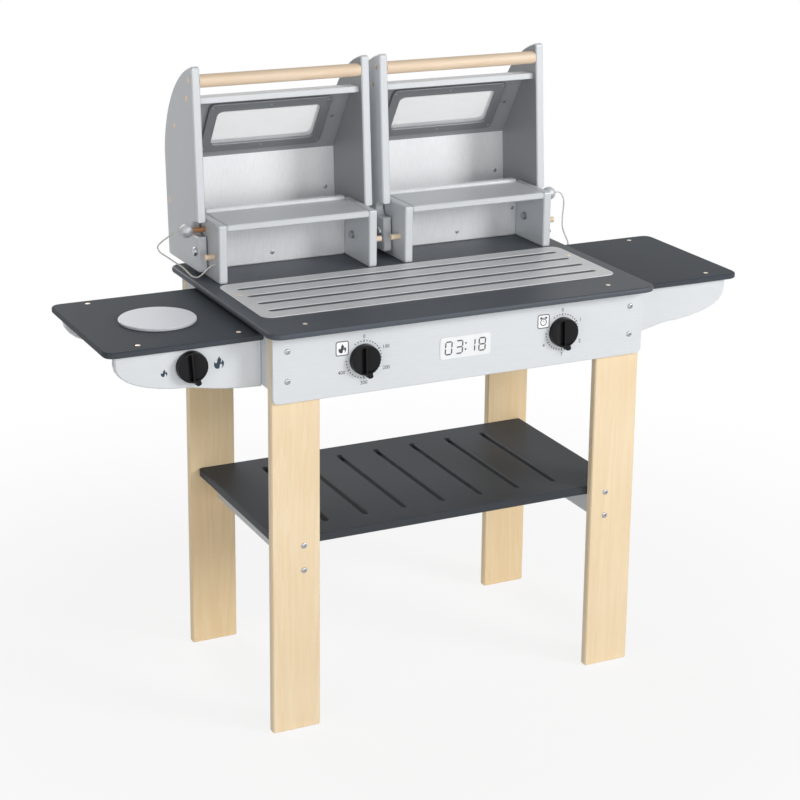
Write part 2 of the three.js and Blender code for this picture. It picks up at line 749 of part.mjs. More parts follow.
addLegs();
addAprons();
addWorktop();
addShelf();
addSideTable('left', leftTableWidth, leftBoardLength, -1);
addSideTable('right', rightTableWidth, rightBoardLength, 1);
addBurner();
addDials();
for (const [name, side] of [['left', -1], ['right', 1]]) {
  addRack(name, side);
  addHood(name, side);
  addBolts(name, side);
  addPeg(name, side);
}
addTether('left', leftTetherRoute);
addTether('right', rightTetherRoute);

// The origin is on the floor under the middle of the whole
parts.updateMatrixWorld(true);
const box = new THREE.Box3();
parts.traverse((node) => {
  if (node.isMesh && !uncounted.includes(node)) {
    box.expandByObject(node, true);
  }
});
const middle = box.getCenter(new THREE.Vector3());
parts.position.set(-middle.x, -middle.y, -box.min.z);

export default grill;
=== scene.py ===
"""Looks of a toy barbecue grill: painted boards, pale wood, dials, prints, fasteners and tether cords."""
import json
import logging
import math
from collections.abc import Mapping, Sequence
from dataclasses import dataclass, replace
from enum import Enum
from typing import Any

import bmesh
import bpy
from bpy.types import Material, Mesh, NodeSocket, Object, World
from mathutils import Matrix, Vector


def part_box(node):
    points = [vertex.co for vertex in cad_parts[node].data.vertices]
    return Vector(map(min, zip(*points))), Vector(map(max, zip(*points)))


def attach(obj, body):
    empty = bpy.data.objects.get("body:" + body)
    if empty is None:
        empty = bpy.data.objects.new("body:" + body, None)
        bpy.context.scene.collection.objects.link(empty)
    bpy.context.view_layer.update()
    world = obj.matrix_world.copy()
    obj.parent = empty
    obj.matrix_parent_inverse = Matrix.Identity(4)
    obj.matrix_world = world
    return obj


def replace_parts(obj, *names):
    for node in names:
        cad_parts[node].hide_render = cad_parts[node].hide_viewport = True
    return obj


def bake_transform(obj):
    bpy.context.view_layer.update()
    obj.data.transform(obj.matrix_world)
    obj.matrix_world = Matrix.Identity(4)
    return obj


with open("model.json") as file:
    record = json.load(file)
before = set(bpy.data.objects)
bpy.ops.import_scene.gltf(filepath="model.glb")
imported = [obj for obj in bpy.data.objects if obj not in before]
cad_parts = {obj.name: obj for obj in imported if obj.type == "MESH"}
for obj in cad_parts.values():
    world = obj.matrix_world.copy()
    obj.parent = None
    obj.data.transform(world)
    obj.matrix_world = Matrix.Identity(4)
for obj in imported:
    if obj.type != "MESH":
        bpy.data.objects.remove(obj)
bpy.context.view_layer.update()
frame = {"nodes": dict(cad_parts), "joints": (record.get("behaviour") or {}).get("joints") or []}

LOG = logging.getLogger("toy_grill")
MM = 0.001
UPRIGHT = 0.9
SAME_POINT = 1e-7
Color = tuple[float, float, float]
Point = tuple[float, float, float]
Flat = tuple[float, float]


def drawn(x: float, y: float, z: float) -> Vector:
    """Place of a point of the drawing in the model's frame.

    Args:
        x: Millimetres to the right of the middle between the legs.
        y: Millimetres behind the front face of the front legs.
        z: Millimetres above the floor.

    Returns:
        The point in metres, in the model's frame.
    """
    low_left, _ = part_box("leg_front_left")
    _, high_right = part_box("leg_front_right")
    return Vector(((low_left.x + high_right.x) / 2 + x * MM, low_left.y + y * MM, z * MM))


class Way(Enum):
    """Directions that a board, a fastener or a print faces, as an outward normal."""

    FRONT = (0.0, -1.0, 0.0)
    BACK = (0.0, 1.0, 0.0)
    UP = (0.0, 0.0, 1.0)
    LEFT = (-1.0, 0.0, 0.0)
    RIGHT = (1.0, 0.0, 0.0)


SIDES: Mapping[str, tuple[int, Way]] = {"left": (-1, Way.LEFT), "right": (1, Way.RIGHT)}


def seat(place: Vector, normal: Vector | Point) -> Matrix:
    """Frame at a place whose local +Z runs along a normal.

    Args:
        place: The frame's origin in metres.
        normal: The direction of local +Z.

    Returns:
        The frame, with local +Y upright, or to the back where the normal is upright.
    """
    ahead = Vector(normal).normalized()
    up = Vector((0, 1, 0)) if abs(ahead.z) > UPRIGHT else Vector((0, 0, 1))
    across = up.cross(ahead).normalized()
    turn = Matrix((across, ahead.cross(across), ahead)).transposed().to_4x4()
    return Matrix.Translation(place) @ turn


def on_board(x: float, y: float, z: float, way: Way) -> Matrix:
    """Frame on a board's face at a point of the drawing."""
    return seat(drawn(x, y, z), way.value)


# Shader maths


class Grain(Enum):
    """The way that a pattern is drawn out, as its scale along X, Y and Z."""

    EVEN = (1.0, 1.0, 1.0)
    ALONG_X = (0.06, 1.0, 1.0)
    ALONG_Z = (1.0, 1.0, 0.06)
    LAID = (1.0, 1.0, 0.26 / 0.7)


@dataclass(frozen=True)
class Pattern:
    """Noise from 0 to 1: its cells in a metre, how finely it breaks up and how far it wanders."""

    cells: float
    detail: float = 2.0
    rough: float = 0.5
    wander: float = 0.0


class Value:
    """An output of a node tree that takes part in Python arithmetic."""

    def __init__(self, tree: "Tree", socket: NodeSocket) -> None:
        """Keeps the tree and the socket."""
        self.tree = tree
        self.socket = socket

    def _math(self, operation: str, first: "Value | float", second: "Value | float") -> "Value":
        """Adds one Math node on two values."""
        return self.tree.add("Math", {"operation": operation}, {0: first, 1: second})

    def __add__(self, other: "Value | float") -> "Value":
        """Sum."""
        return self._math("ADD", self, other)

    def __radd__(self, other: float) -> "Value":
        """Sum, reflected."""
        return self._math("ADD", other, self)

    def __sub__(self, other: "Value | float") -> "Value":
        """Difference."""
        return self._math("SUBTRACT", self, other)

    def __rsub__(self, other: float) -> "Value":
        """Difference, reflected."""
        return self._math("SUBTRACT", other, self)

    def __mul__(self, other: "Value | float") -> "Value":
        """Product."""
        return self._math("MULTIPLY", self, other)

    def __rmul__(self, other: float) -> "Value":
        """Product, reflected."""
        return self._math("MULTIPLY", other, self)

    def __truediv__(self, other: "Value | float") -> "Value":
        """Quotient."""
        return self._math("DIVIDE", self, other)

    def __rtruediv__(self, other: float) -> "Value":
        """Quotient, reflected."""
        return self._math("DIVIDE", other, self)

    def __abs__(self) -> "Value":
        """Absolute value."""
        return self.tree.add("Math", {"operation": "ABSOLUTE"}, {0: self})

    def fraction(self) -> "Value":
        """The value less its whole part."""
        return self.tree.add("Math", {"operation": "FRACT"}, {0: self})

    def smooth(self, low: float, high: float) -> "Value":
        """A smooth step from 0 at low to 1 at high."""
        settings = {"interpolation_type": "SMOOTHSTEP"}
        return self.tree.add("MapRange", settings, {0: self, 1: low, 2: high})


class Tree:
    """The node tree of a material or of the world."""

    def __init__(self, owner: Material | World) -> None:
        """Empties the owner's node tree.

        Args:
            owner: The material or the world.
        """
        owner.use_nodes = True
        self.owner = owner
        self.nodes = owner.node_tree.nodes
        self.links = owner.node_tree.links
        self.nodes.clear()

    def add(self, kind: str, settings: Mapping[str, Any] | None = None,
            values: Mapping[int | str, Any] | None = None, out: int | str = 0) -> "Value | None":
        """Adds a node.

        Args:
            kind: The node's type, without its ShaderNode prefix.
            settings: Its properties, set first.
            values: Its sockets' values, or the values that are linked to them.
            out: Which output is handed back.

        Returns:
            That output, or None for a node without outputs.
        """
        node = self.nodes.new("ShaderNode" + kind)
        for key, setting in (settings or {}).items():
            setattr(node, key, setting)
        for key, value in (values or {}).items():
            if isinstance(value, Value):
                self.links.new(value.socket, node.inputs[key])
            elif "Color" in str(key) and len(value) == 3:
                node.inputs[key].default_value = (*value, 1.0)
            else:
                node.inputs[key].default_value = value
        return Value(self, node.outputs[out]) if node.outputs else None

    def place(self, scale: Point = (1.0, 1.0, 1.0)) -> Value:
        """Object coordinates in metres, times a scale on each axis."""
        coordinates = self.add("TexCoord", out="Object")
        return self.add("VectorMath", {"operation": "MULTIPLY"}, {0: coordinates, 1: scale})

    def noise(self, pattern: Pattern, grain: Grain = Grain.EVEN) -> Value:
        """A pattern, drawn out along a grain."""
        values = {"Vector": self.place(tuple(pattern.cells * share for share in grain.value)), "Scale": 1.0,
                  "Detail": pattern.detail, "Roughness": pattern.rough, "Distortion": pattern.wander}
        return self.add("TexNoise", {}, values)

    def mix(self, share: Value | float, first: Any, second: Any) -> Value:
        """A colour between two colours."""
        first, second = (v if isinstance(v, Value) else (*v, 1.0) for v in (first, second))
        return self.add("Mix", {"data_type": "RGBA"}, {0: share, 6: first, 7: second}, out=2)

    def bump(self, height: Value, depth: float, strength: float) -> Value:
        """A normal from a height of 0 to 1 that stands for a depth in metres."""
        return self.add("Bump", {}, {"Height": height, "Distance": depth, "Strength": strength})

    def surface(self, values: Mapping[str, Any]) -> Material:
        """Closes a material with a Principled shader of these sockets."""
        self.add("OutputMaterial", {}, {"Surface": self.add("BsdfPrincipled", {}, values)})
        return self.owner


def paint_pot(name: str) -> Tree:
    """An empty tree in a new material."""
    return Tree(bpy.data.materials.new(name))


def shaded(color: Color, share: float) -> Color:
    """A colour made lighter or darker by a share."""
    return tuple(min(1.0, channel * share) for channel in color)


# Finishes


@dataclass(frozen=True)
class PaleWood:
    """Lacquered light wood with long soft grain, and thin layers on the sawn edges of ply."""

    name: str
    light: Color
    dark: Color
    grain: Grain
    layered: bool = False
    layer: float = 1.6 * MM
    layer_dark: float = 0.6
    rings: float = 5.0
    figure: Pattern = Pattern(22.0, 3.0, 0.5, 1.2)
    fine: Pattern = Pattern(260.0, 2.0, 0.6)
    pores: Pattern = Pattern(1500.0, 1.0)
    cloud: Pattern = Pattern(7.0)
    figure_dark: float = 0.4
    other_dark: float = 0.3
    pore_tone: float = 0.86
    edge_tone: float = 1.06
    ring_edge: Flat = (0.0, 0.75)
    fine_edge: Flat = (0.35, 0.7)
    pore_edge: Flat = (0.6, 0.75)
    cloud_edge: Flat = (0.35, 0.65)
    side_edge: Flat = (0.75, 0.85)
    layer_edge: Flat = (0.2, 0.3)
    fine_height: float = 0.6
    relief: Flat = (0.1 * MM, 0.4)
    rough: float = 0.42
    rough_spread: float = 0.12

    def make(self) -> Material:
        """Builds the material.

        Returns:
            The material, with its nodes.
        """
        tree = paint_pot(self.name)
        rings = (tree.noise(self.figure, self.grain) * self.rings).fraction()
        share = rings.smooth(*self.ring_edge) * self.figure_dark
        fine = tree.noise(self.fine, self.grain)
        pores = tree.noise(self.pores, self.grain)
        cloud = tree.noise(self.cloud)
        share += fine.smooth(*self.fine_edge) * self.other_dark
        share += cloud.smooth(*self.cloud_edge) * self.other_dark
        color = tree.mix(share, self.light, self.dark)
        pore_share = pores.smooth(*self.pore_edge) * self.other_dark
        color = tree.mix(pore_share, color, shaded(self.dark, self.pore_tone))
        if self.layered:
            normal = tree.add("NewGeometry", out="Normal")
            side = abs(tree.add("SeparateXYZ", {}, {0: normal}, out="X")).smooth(*self.side_edge)
            depth = tree.add("SeparateXYZ", {}, {0: tree.place()}, out="Y")
            layer = abs((depth / (2 * self.layer)).fraction() - 0.5).smooth(*self.layer_edge)
            edge = tree.mix(layer * self.layer_dark, shaded(self.light, self.edge_tone), self.dark)
            color = tree.mix(side, color, edge)
        normal = tree.bump(fine * self.fine_height + pores * (1 - self.fine_height), *self.relief)
        rough = self.rough + fine * self.rough_spread
        return tree.surface({"Base Color": color, "Roughness": rough, "Normal": normal})


@dataclass(frozen=True)
class BoardPaint:
    """Paint on board with a faint brushed sheen and fine flakes, and painted shade on the faces that look one
    way.
    """

    name: str
    color: Color
    metal: float
    rough: float
    grain: Grain
    brushed: float = 0.05
    flakes: float = 0.07
    shine: float = 0.5
    # Painted shade: the faces that look this way take a darker copy of the colour, by these shares.
    painted_shade_way: Point = (0.0, 0.0, 0.0)
    painted_shade_share: float = 0.52
    painted_shade_dark: float = 0.8
    painted_shade_edge: Flat = (0.6, 0.95)
    clouded: float = 0.03
    rough_drop: float = 0.05
    rough_brushed: float = 0.06
    rough_flaked: float = 0.04
    flake_height: float = 0.7
    relief: Flat = (0.03 * MM, 0.3)
    brush: Pattern = Pattern(900.0, 2.0, 0.6)
    cloud: Pattern = Pattern(8.0)
    flake: Pattern = Pattern(2400.0, 1.0)

    def make(self) -> Material:
        """Builds the material.

        Returns:
            The material, with its nodes.
        """
        tree = paint_pot(self.name)
        brush = tree.noise(self.brush, self.grain)
        cloud = tree.noise(self.cloud)
        flake = tree.noise(self.flake)
        spread = self.brushed + self.flakes + self.clouded
        share = (brush * self.brushed + flake * self.flakes + cloud * self.clouded) / spread
        color = tree.mix(share, shaded(self.color, 1 - spread), shaded(self.color, 1 + spread))
        # Painted shade: faces that look the given way are mixed towards a darker copy of the colour.
        if any(self.painted_shade_way):
            values = {0: tree.add("TexCoord", out="Normal"), 1: self.painted_shade_way}
            facing = tree.add("VectorMath", {"operation": "DOT_PRODUCT"}, values, out="Value")
            lightest_shade, darkest_shade = self.painted_shade_share, self.painted_shade_share * self.painted_shade_dark
            painted_shade_color = tree.mix(share, shaded(self.color, darkest_shade), shaded(self.color, lightest_shade))
            color = tree.mix(facing.smooth(*self.painted_shade_edge), color, painted_shade_color)
        rough = self.rough - self.rough_drop + brush * self.rough_brushed + flake * self.rough_flaked
        normal = tree.bump(flake * self.flake_height + brush * (1 - self.flake_height), *self.relief)
        return tree.surface({"Base Color": color, "Metallic": self.metal, "Roughness": rough,
                             "Normal": normal, "Specular IOR Level": self.shine})


@dataclass(frozen=True)
class Moulded:
    """Moulded plastic with a fine spark texture."""

    name: str
    color: Color
    rough: float
    shine: float = 0.5
    spark: Pattern = Pattern(3500.0)
    wear: Pattern = Pattern(60.0, 3.0, 0.6)
    worn_tone: float = 1.3
    wear_share: float = 0.5
    spark_share: float = 0.3
    rough_spread: float = 0.08
    relief: Flat = (0.03 * MM, 0.3)

    def make(self) -> Material:
        """Builds the material.

        Returns:
            The material, with its nodes.
        """
        tree = paint_pot(self.name)
        spark = tree.noise(self.spark)
        wear = tree.noise(self.wear)
        share = wear * self.wear_share + spark * self.spark_share
        color = tree.mix(share, self.color, shaded(self.color, self.worn_tone))
        rough = self.rough + wear * self.rough_spread
        normal = tree.bump(spark, *self.relief)
        return tree.surface({"Base Color": color, "Roughness": rough, "Normal": normal,
                             "Specular IOR Level": self.shine})


@dataclass(frozen=True)
class Plated:
    """Plated steel of small screws and bolts."""

    name: str
    color: Color
    rough: float = 0.28
    mottle: Pattern = Pattern(1800.0, 2.0, 0.6)
    dark_tone: float = 0.8
    rough_spread: float = 0.1

    def make(self) -> Material:
        """Builds the material.

        Returns:
            The material, with its nodes.
        """
        tree = paint_pot(self.name)
        mottle = tree.noise(self.mottle)
        color = tree.mix(mottle, shaded(self.color, self.dark_tone), self.color)
        rough = self.rough + mottle * self.rough_spread
        return tree.surface({"Base Color": color, "Metallic": 1.0, "Roughness": rough})


@dataclass(frozen=True)
class Ink:
    """Screen-printed ink, matt and slightly uneven."""

    name: str
    color: Color
    rough: float = 0.5
    speck: Pattern = Pattern(1500.0)
    thin_tone: float = 1.5
    rough_spread: float = 0.12

    def make(self) -> Material:
        """Builds the material.

        Returns:
            The material, with its nodes.
        """
        tree = paint_pot(self.name)
        speck = tree.noise(self.speck)
        color = tree.mix(speck, self.color, shaded(self.color, self.thin_tone))
        return tree.surface({"Base Color": color, "Roughness": self.rough + speck * self.rough_spread})


@dataclass(frozen=True)
class ClearSheet:
    """Thin clear plastic sheet, faintly hazy."""

    name: str
    color: Color
    cover: float
    rough: float = 0.1
    haze: Pattern = Pattern(30.0)
    hazed: float = 0.06

    def make(self) -> Material:
        """Builds the material.

        Returns:
            The material, with its nodes.
        """
        tree = paint_pot(self.name)
        cover = self.cover + tree.noise(self.haze) * self.hazed
        return tree.surface({"Base Color": self.color, "Roughness": self.rough, "Alpha": cover})


@dataclass(frozen=True)
class TwistedCord:
    """Thin laid cord, off-white, with a fine twist."""

    name: str
    color: Color
    rough: float = 0.85
    fibre: Pattern = Pattern(2200.0, 3.0, 0.6)
    strand: Pattern = Pattern(700.0, 1.0)
    deep_tone: float = 0.76
    strand_edge: Flat = (0.35, 0.65)
    strand_share: float = 0.6
    relief: Flat = (0.25 * MM, 0.7)

    def make(self) -> Material:
        """Builds the material.

        Returns:
            The material, with its nodes.
        """
        tree = paint_pot(self.name)
        fibre = tree.noise(self.fibre)
        strand = tree.noise(self.strand, Grain.LAID)
        share = strand.smooth(*self.strand_edge) * self.strand_share + fibre * (1 - self.strand_share)
        color = tree.mix(share, self.color, shaded(self.color, self.deep_tone))
        normal = tree.bump(strand, *self.relief)
        return tree.surface({"Base Color": color, "Roughness": self.rough, "Normal": normal})


class Palette:
    """Every finish of the grill, made once each."""

    def __init__(self) -> None:
        """Builds the materials."""
        silver, slate = (0.70, 0.725, 0.75), (0.095, 0.108, 0.126)
        ply = PaleWood("birch_ply", (0.92, 0.76, 0.53), (0.85, 0.66, 0.42), Grain.ALONG_Z, True)
        rod = PaleWood("beech_rod", (0.91, 0.74, 0.56), (0.84, 0.65, 0.46), Grain.ALONG_X)
        wide = BoardPaint("silver_paint_wide", silver, 0.08, 0.42, Grain.ALONG_X, shine=0.3)
        # Painted shade: the cheeks' inner faces, which the hood shades, take a darker copy of the silver.
        cheek = replace(wide, name="silver_left_cheek_painted_shade", grain=Grain.ALONG_Z, painted_shade_way=Way.RIGHT.value)
        top = BoardPaint("slate_paint", slate, 0.0, 0.42, Grain.ALONG_X, 0.04, 0.10, 0.12)
        # Painted shade: the side tables take a darker copy of the slate paint.
        side = replace(top, name="slate_paint_side_shaded", color=shaded(slate, 0.72), rough=0.46, shine=0.04)
        shelf = replace(top, name="shelf_paint", color=(0.047, 0.053, 0.062), rough=0.48, shine=0.15)
        # Painted light: the rear legs take a lighter copy of the birch against the shade under the table.
        rear_lit_ply = replace(ply, name="birch_ply_rear_lit", light=(1.0, 0.80, 0.52), dark=(0.94, 0.70, 0.40))
        self.leg = ply.make()
        self.rear_leg_lit = rear_lit_ply.make()
        self.rod = rod.make()
        self.peg = replace(rod, name="brown_dowel", light=(0.50, 0.24, 0.11), dark=(0.34, 0.14, 0.06)).make()
        self.silver_wide = wide.make()
        self.left_cheek_painted_shade = cheek.make()
        self.right_cheek_painted_shade = replace(cheek, name="silver_right_cheek", painted_shade_way=Way.LEFT.value).make()
        self.ball = BoardPaint("silver_ball", shaded(silver, 0.78), 0.4, 0.50, Grain.ALONG_Z).make()
        # Painted highlight: the hood and rack backs take a lighter copy of the silver for the bright
        # reflection on them, besides their real brushed sheen.
        self.sheen = BoardPaint("silver_sheen_painted_highlight", shaded(silver, 1.28), 0.15, 0.38, Grain.ALONG_Z, 0.14).make()
        self.disc = BoardPaint("silver_disc", (0.70, 0.72, 0.76), 0.3, 0.45, Grain.ALONG_X).make()
        self.plate = BoardPaint("grill_silver", (0.84, 0.85, 0.86), 0.1, 0.42, Grain.ALONG_X).make()
        self.slate = top.make()
        self.side_slate_shaded = side.make()
        # Painted shade: the window panel's inner face, which looks down under the hood, takes a darker copy
        # of the silver.
        self.slope = replace(wide, name="silver_slope_painted_shade", painted_shade_way=(0.0, -0.8, -0.6), painted_shade_share=0.58).make()
        self.shelf = shelf.make()
        # Painted shade: the window frame takes a dark grey for the silver frame in shade under the hood.
        self.frame = BoardPaint("window_frame_painted_shade", (0.24, 0.25, 0.262), 0.2, 0.42, Grain.ALONG_X).make()
        self.knob = Moulded("black_moulding", (0.008, 0.008, 0.009), 0.26, 0.16).make()
        self.display = Moulded("display_white", (0.78, 0.79, 0.81), 0.35).make()
        self.zinc = Plated("zinc_plate", (0.46, 0.48, 0.51)).make()
        self.brass = Plated("pale_brass", (0.92, 0.82, 0.68), 0.3).make()
        self.copper = Plated("copper_screw", (0.80, 0.58, 0.42), 0.35).make()
        self.ink = Ink("dark_ink", (0.020, 0.022, 0.027)).make()
        self.navy = Ink("navy_ink", (0.012, 0.030, 0.050)).make()
        self.white = Ink("white_ink", (0.90, 0.91, 0.93)).make()
        self.pane = ClearSheet("clear_sheet", (0.86, 0.87, 0.88), 0.30).make()
        self.cord = TwistedCord("white_cord", (0.94, 0.91, 0.85)).make()


# Mesh building


class Body:
    """A mesh under construction, in metres in the model's frame."""

    def __init__(self, name: str) -> None:
        """Starts an empty mesh."""
        self.name = name
        self.mesh = bmesh.new()

    def rings(self, rings: Sequence[Sequence[Vector]], closed: bool = False) -> None:
        """Joins rings of points with faces, and closes both ends or the last ring to the first.

        Args:
            rings: Rings of points; a ring of one point is a tip.
            closed: Whether the last ring joins the first one, instead of flat ends.
        """
        made = [[self.mesh.verts.new(point) for point in ring] for ring in rings]
        count = max(len(ring) for ring in made)
        if closed:
            made.append(made[0])
        for low, high in zip(made, made[1:]):
            for i in range(count):
                j = (i + 1) % count
                if len(low) == 1:
                    self.mesh.faces.new((low[0], high[j], high[i]))
                elif len(high) == 1:
                    self.mesh.faces.new((low[i], low[j], high[0]))
                else:
                    self.mesh.faces.new((low[i], low[j], high[j], high[i]))
        if not closed:
            for ring in (made[0], made[-1]):
                if len(ring) > 1:
                    self.mesh.faces.new(ring)

    def lathe(self, profile: Sequence[Flat], place: Matrix, sides: int = 48) -> None:
        """Adds a solid turned round a place's Z, from pairs of radius and height that end on the axis."""
        self.rings([[place @ Vector((x, y, height)) for x, y in circle(radius, steps=sides)]
                    if radius else [place @ Vector((0, 0, height))] for radius, height in profile])

    def prism(self, outline: Sequence[Flat], depth: float, place: Matrix) -> None:
        """Adds a flat solid with the outline's shape, from local Z 0 to a depth."""
        self.rings([[place @ Vector((x, y, height)) for x, y in outline] for height in (0.0, depth)])

    def band(self, outer: Sequence[Flat], inner: Sequence[Flat], depth: float, place: Matrix) -> None:
        """Adds a flat closed band between two outlines with as many points each."""
        levels = ((outer, 0.0), (outer, depth), (inner, depth), (inner, 0.0))
        self.rings([[place @ Vector((x, y, height)) for x, y in outline] for outline, height in levels], True)

    def copy_of(self, mesh: Mesh, place: Matrix) -> None:
        """Adds a copy of a mesh.

        Args:
            mesh: The mesh to copy.
            place: Where the copy goes.
        """
        before = len(self.mesh.verts)
        self.mesh.from_mesh(mesh)
        self.mesh.verts.ensure_lookup_table()
        bmesh.ops.transform(self.mesh, matrix=place, verts=self.mesh.verts[before:])

    def number(self, text: str, height: float, depth: float, place: Matrix) -> None:
        """Adds a number as thin solid digits.

        Args:
            text: The digits.
            height: Their height in metres.
            depth: Their thickness in metres.
            place: The middle of the number.
        """
        curve = bpy.data.curves.new(self.name + "_digits", "FONT")
        curve.body = text
        curve.resolution_u = 3
        curve.extrude = depth / 2
        letters = bpy.data.objects.new(self.name + "_digits", curve)
        mesh = bpy.data.meshes.new_from_object(letters)
        xs, ys = ([vertex.co[axis] for vertex in mesh.vertices] for axis in (0, 1))
        size = height / (max(ys) - min(ys))
        middle = Vector(((min(xs) + max(xs)) / 2, (min(ys) + max(ys)) / 2, -depth / 2))
        self.copy_of(mesh, place @ Matrix.Diagonal((size, size, 1, 1)) @ Matrix.Translation(-middle))
        bpy.data.objects.remove(letters)

    def clean(self) -> None:
        """Joins doubled points and turns the faces outwards."""
        bmesh.ops.remove_doubles(self.mesh, verts=self.mesh.verts, dist=SAME_POINT)
        bmesh.ops.recalc_face_normals(self.mesh, faces=self.mesh.faces)
        self.mesh.normal_update()

    def placed(self) -> Object:
        """Turns the mesh into an object of the scene.

        Returns:
            The new object.
        """
        self.clean()
        data = bpy.data.meshes.new(self.name)
        self.mesh.to_mesh(data)
        self.mesh.free()
        piece = bpy.data.objects.new(self.name, data)
        bpy.context.scene.collection.objects.link(piece)
        return piece

    def build(self, material: Material, body: str, smooth: float = 35.0) -> Object:
        """Turns the mesh into a piece that rides on a body.

        Args:
            material: Its finish.
            body: The body that it rides on.
            smooth: The angle in degrees under which edges are shaded smooth.

        Returns:
            The new piece.
        """
        self.clean()
        for edge in self.mesh.edges:
            edge.smooth = len(edge.link_faces) == 2 and edge.calc_face_angle(0.0) < math.radians(smooth)
        for face in self.mesh.faces:
            face.smooth = True
        piece = self.placed()
        piece.data.materials.append(material)
        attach(piece, body)
        LOG.info("%s rides on %s in %s", piece.name, body, material.name)
        return piece


class Carving(Enum):
    """What a tool body does to a solid."""

    ADD = "UNION"
    CUT = "DIFFERENCE"


def carved(solid: Body, tools: Sequence[tuple[Carving, Body]]) -> Mesh:
    """Adds bodies to a solid, or cuts them out of it.

    Args:
        solid: The closed body to work on.
        tools: What is done with each further body, in order.

    Returns:
        The mesh that is left.
    """
    first = solid.placed()
    pieces = [first]
    for carving, tool in tools:
        piece = tool.placed()
        pieces.append(piece)
        step = first.modifiers.new(tool.name, "BOOLEAN")
        step.operation, step.solver, step.object = carving.value, "EXACT", piece
    mesh = bpy.data.meshes.new_from_object(first.evaluated_get(bpy.context.evaluated_depsgraph_get()))
    for piece in pieces:
        bpy.data.objects.remove(piece)
    return mesh


def rounded(width: float, height: float, radius: float, steps: int = 5) -> list[Flat]:
    """The outline of a rectangle with round corners, centred on zero.

    Args:
        width: Its width.
        height: Its height.
        radius: The radius of its corners.
        steps: Straight stretches in each corner.

    Returns:
        The outline's points.
    """
    points: list[Flat] = []
    for corner, (sx, sy) in enumerate(((1, -1), (1, 1), (-1, 1), (-1, -1))):
        for k in range(steps + 1):
            angle = math.radians(90 * corner - 90 + 90 * k / steps)
            points.append((sx * (width / 2 - radius) + radius * math.cos(angle),
                           sy * (height / 2 - radius) + radius * math.sin(angle)))
    return points


def circle(radius: float, steps: int = 16) -> list[Flat]:
    """The outline of a circle, centred on zero."""
    turns = [2 * math.pi * k / steps for k in range(steps)]
    return [(radius * math.cos(turn), radius * math.sin(turn)) for turn in turns]


def line(start: Flat, end: Flat, width: float) -> list[Flat]:
    """The outline of a straight stroke with pointed ends.

    Args:
        start: One end of its centre line.
        end: The other end.
        width: Its width.

    Returns:
        The outline's points.
    """
    a, b = Vector(start), Vector(end)
    tip = (b - a).normalized() * width / 2
    side = Vector((-tip.y, tip.x))
    points = (a, a + tip + side, b - tip + side, b, b - tip - side, a + tip - side)
    return [(point.x, point.y) for point in points]


# Sub-assemblies


@dataclass
class BoardFinishes:
    """Gives every board, rod and plate that stays its finish."""

    palette: Palette

    def dress(self) -> None:
        """Puts a material on each node."""
        for name, node in frame["nodes"].items():
            material = self.finish_of(name)
            node.data.materials.clear()
            node.data.materials.append(material)
            LOG.info("%s is finished in %s", name, material.name)

    def finish_of(self, name: str) -> Material:
        """The finish of a node, from the words in its name.

        Args:
            name: The node's name.

        Returns:
            The material of the first word that fits.
        """
        palette = self.palette
        choices = {
            "control_panel": palette.silver_wide, "window_panel": palette.slope, "window_pane": palette.pane,
            "window_frame": palette.frame, "leg_rear": palette.rear_leg_lit, "leg_": palette.leg,
            "handle": palette.rod, "stop_dowel": palette.rod, "hood_back": palette.sheen,
            "left_hood_outer_cheek": palette.left_cheek_painted_shade, "right_hood_inner_cheek": palette.left_cheek_painted_shade,
            "cheek": palette.right_cheek_painted_shade, "rack_back": palette.sheen, "burner_disc": palette.disc,
            "tabletop": palette.slate, "table_top": palette.side_slate_shaded, "lower_shelf": palette.shelf,
            "grill_plate": palette.plate, "display": palette.display, "bolt": palette.zinc,
            "dial": palette.knob, "tether": palette.cord,
        }
        return next((finish for word, finish in choices.items() if word in name), palette.silver_wide)


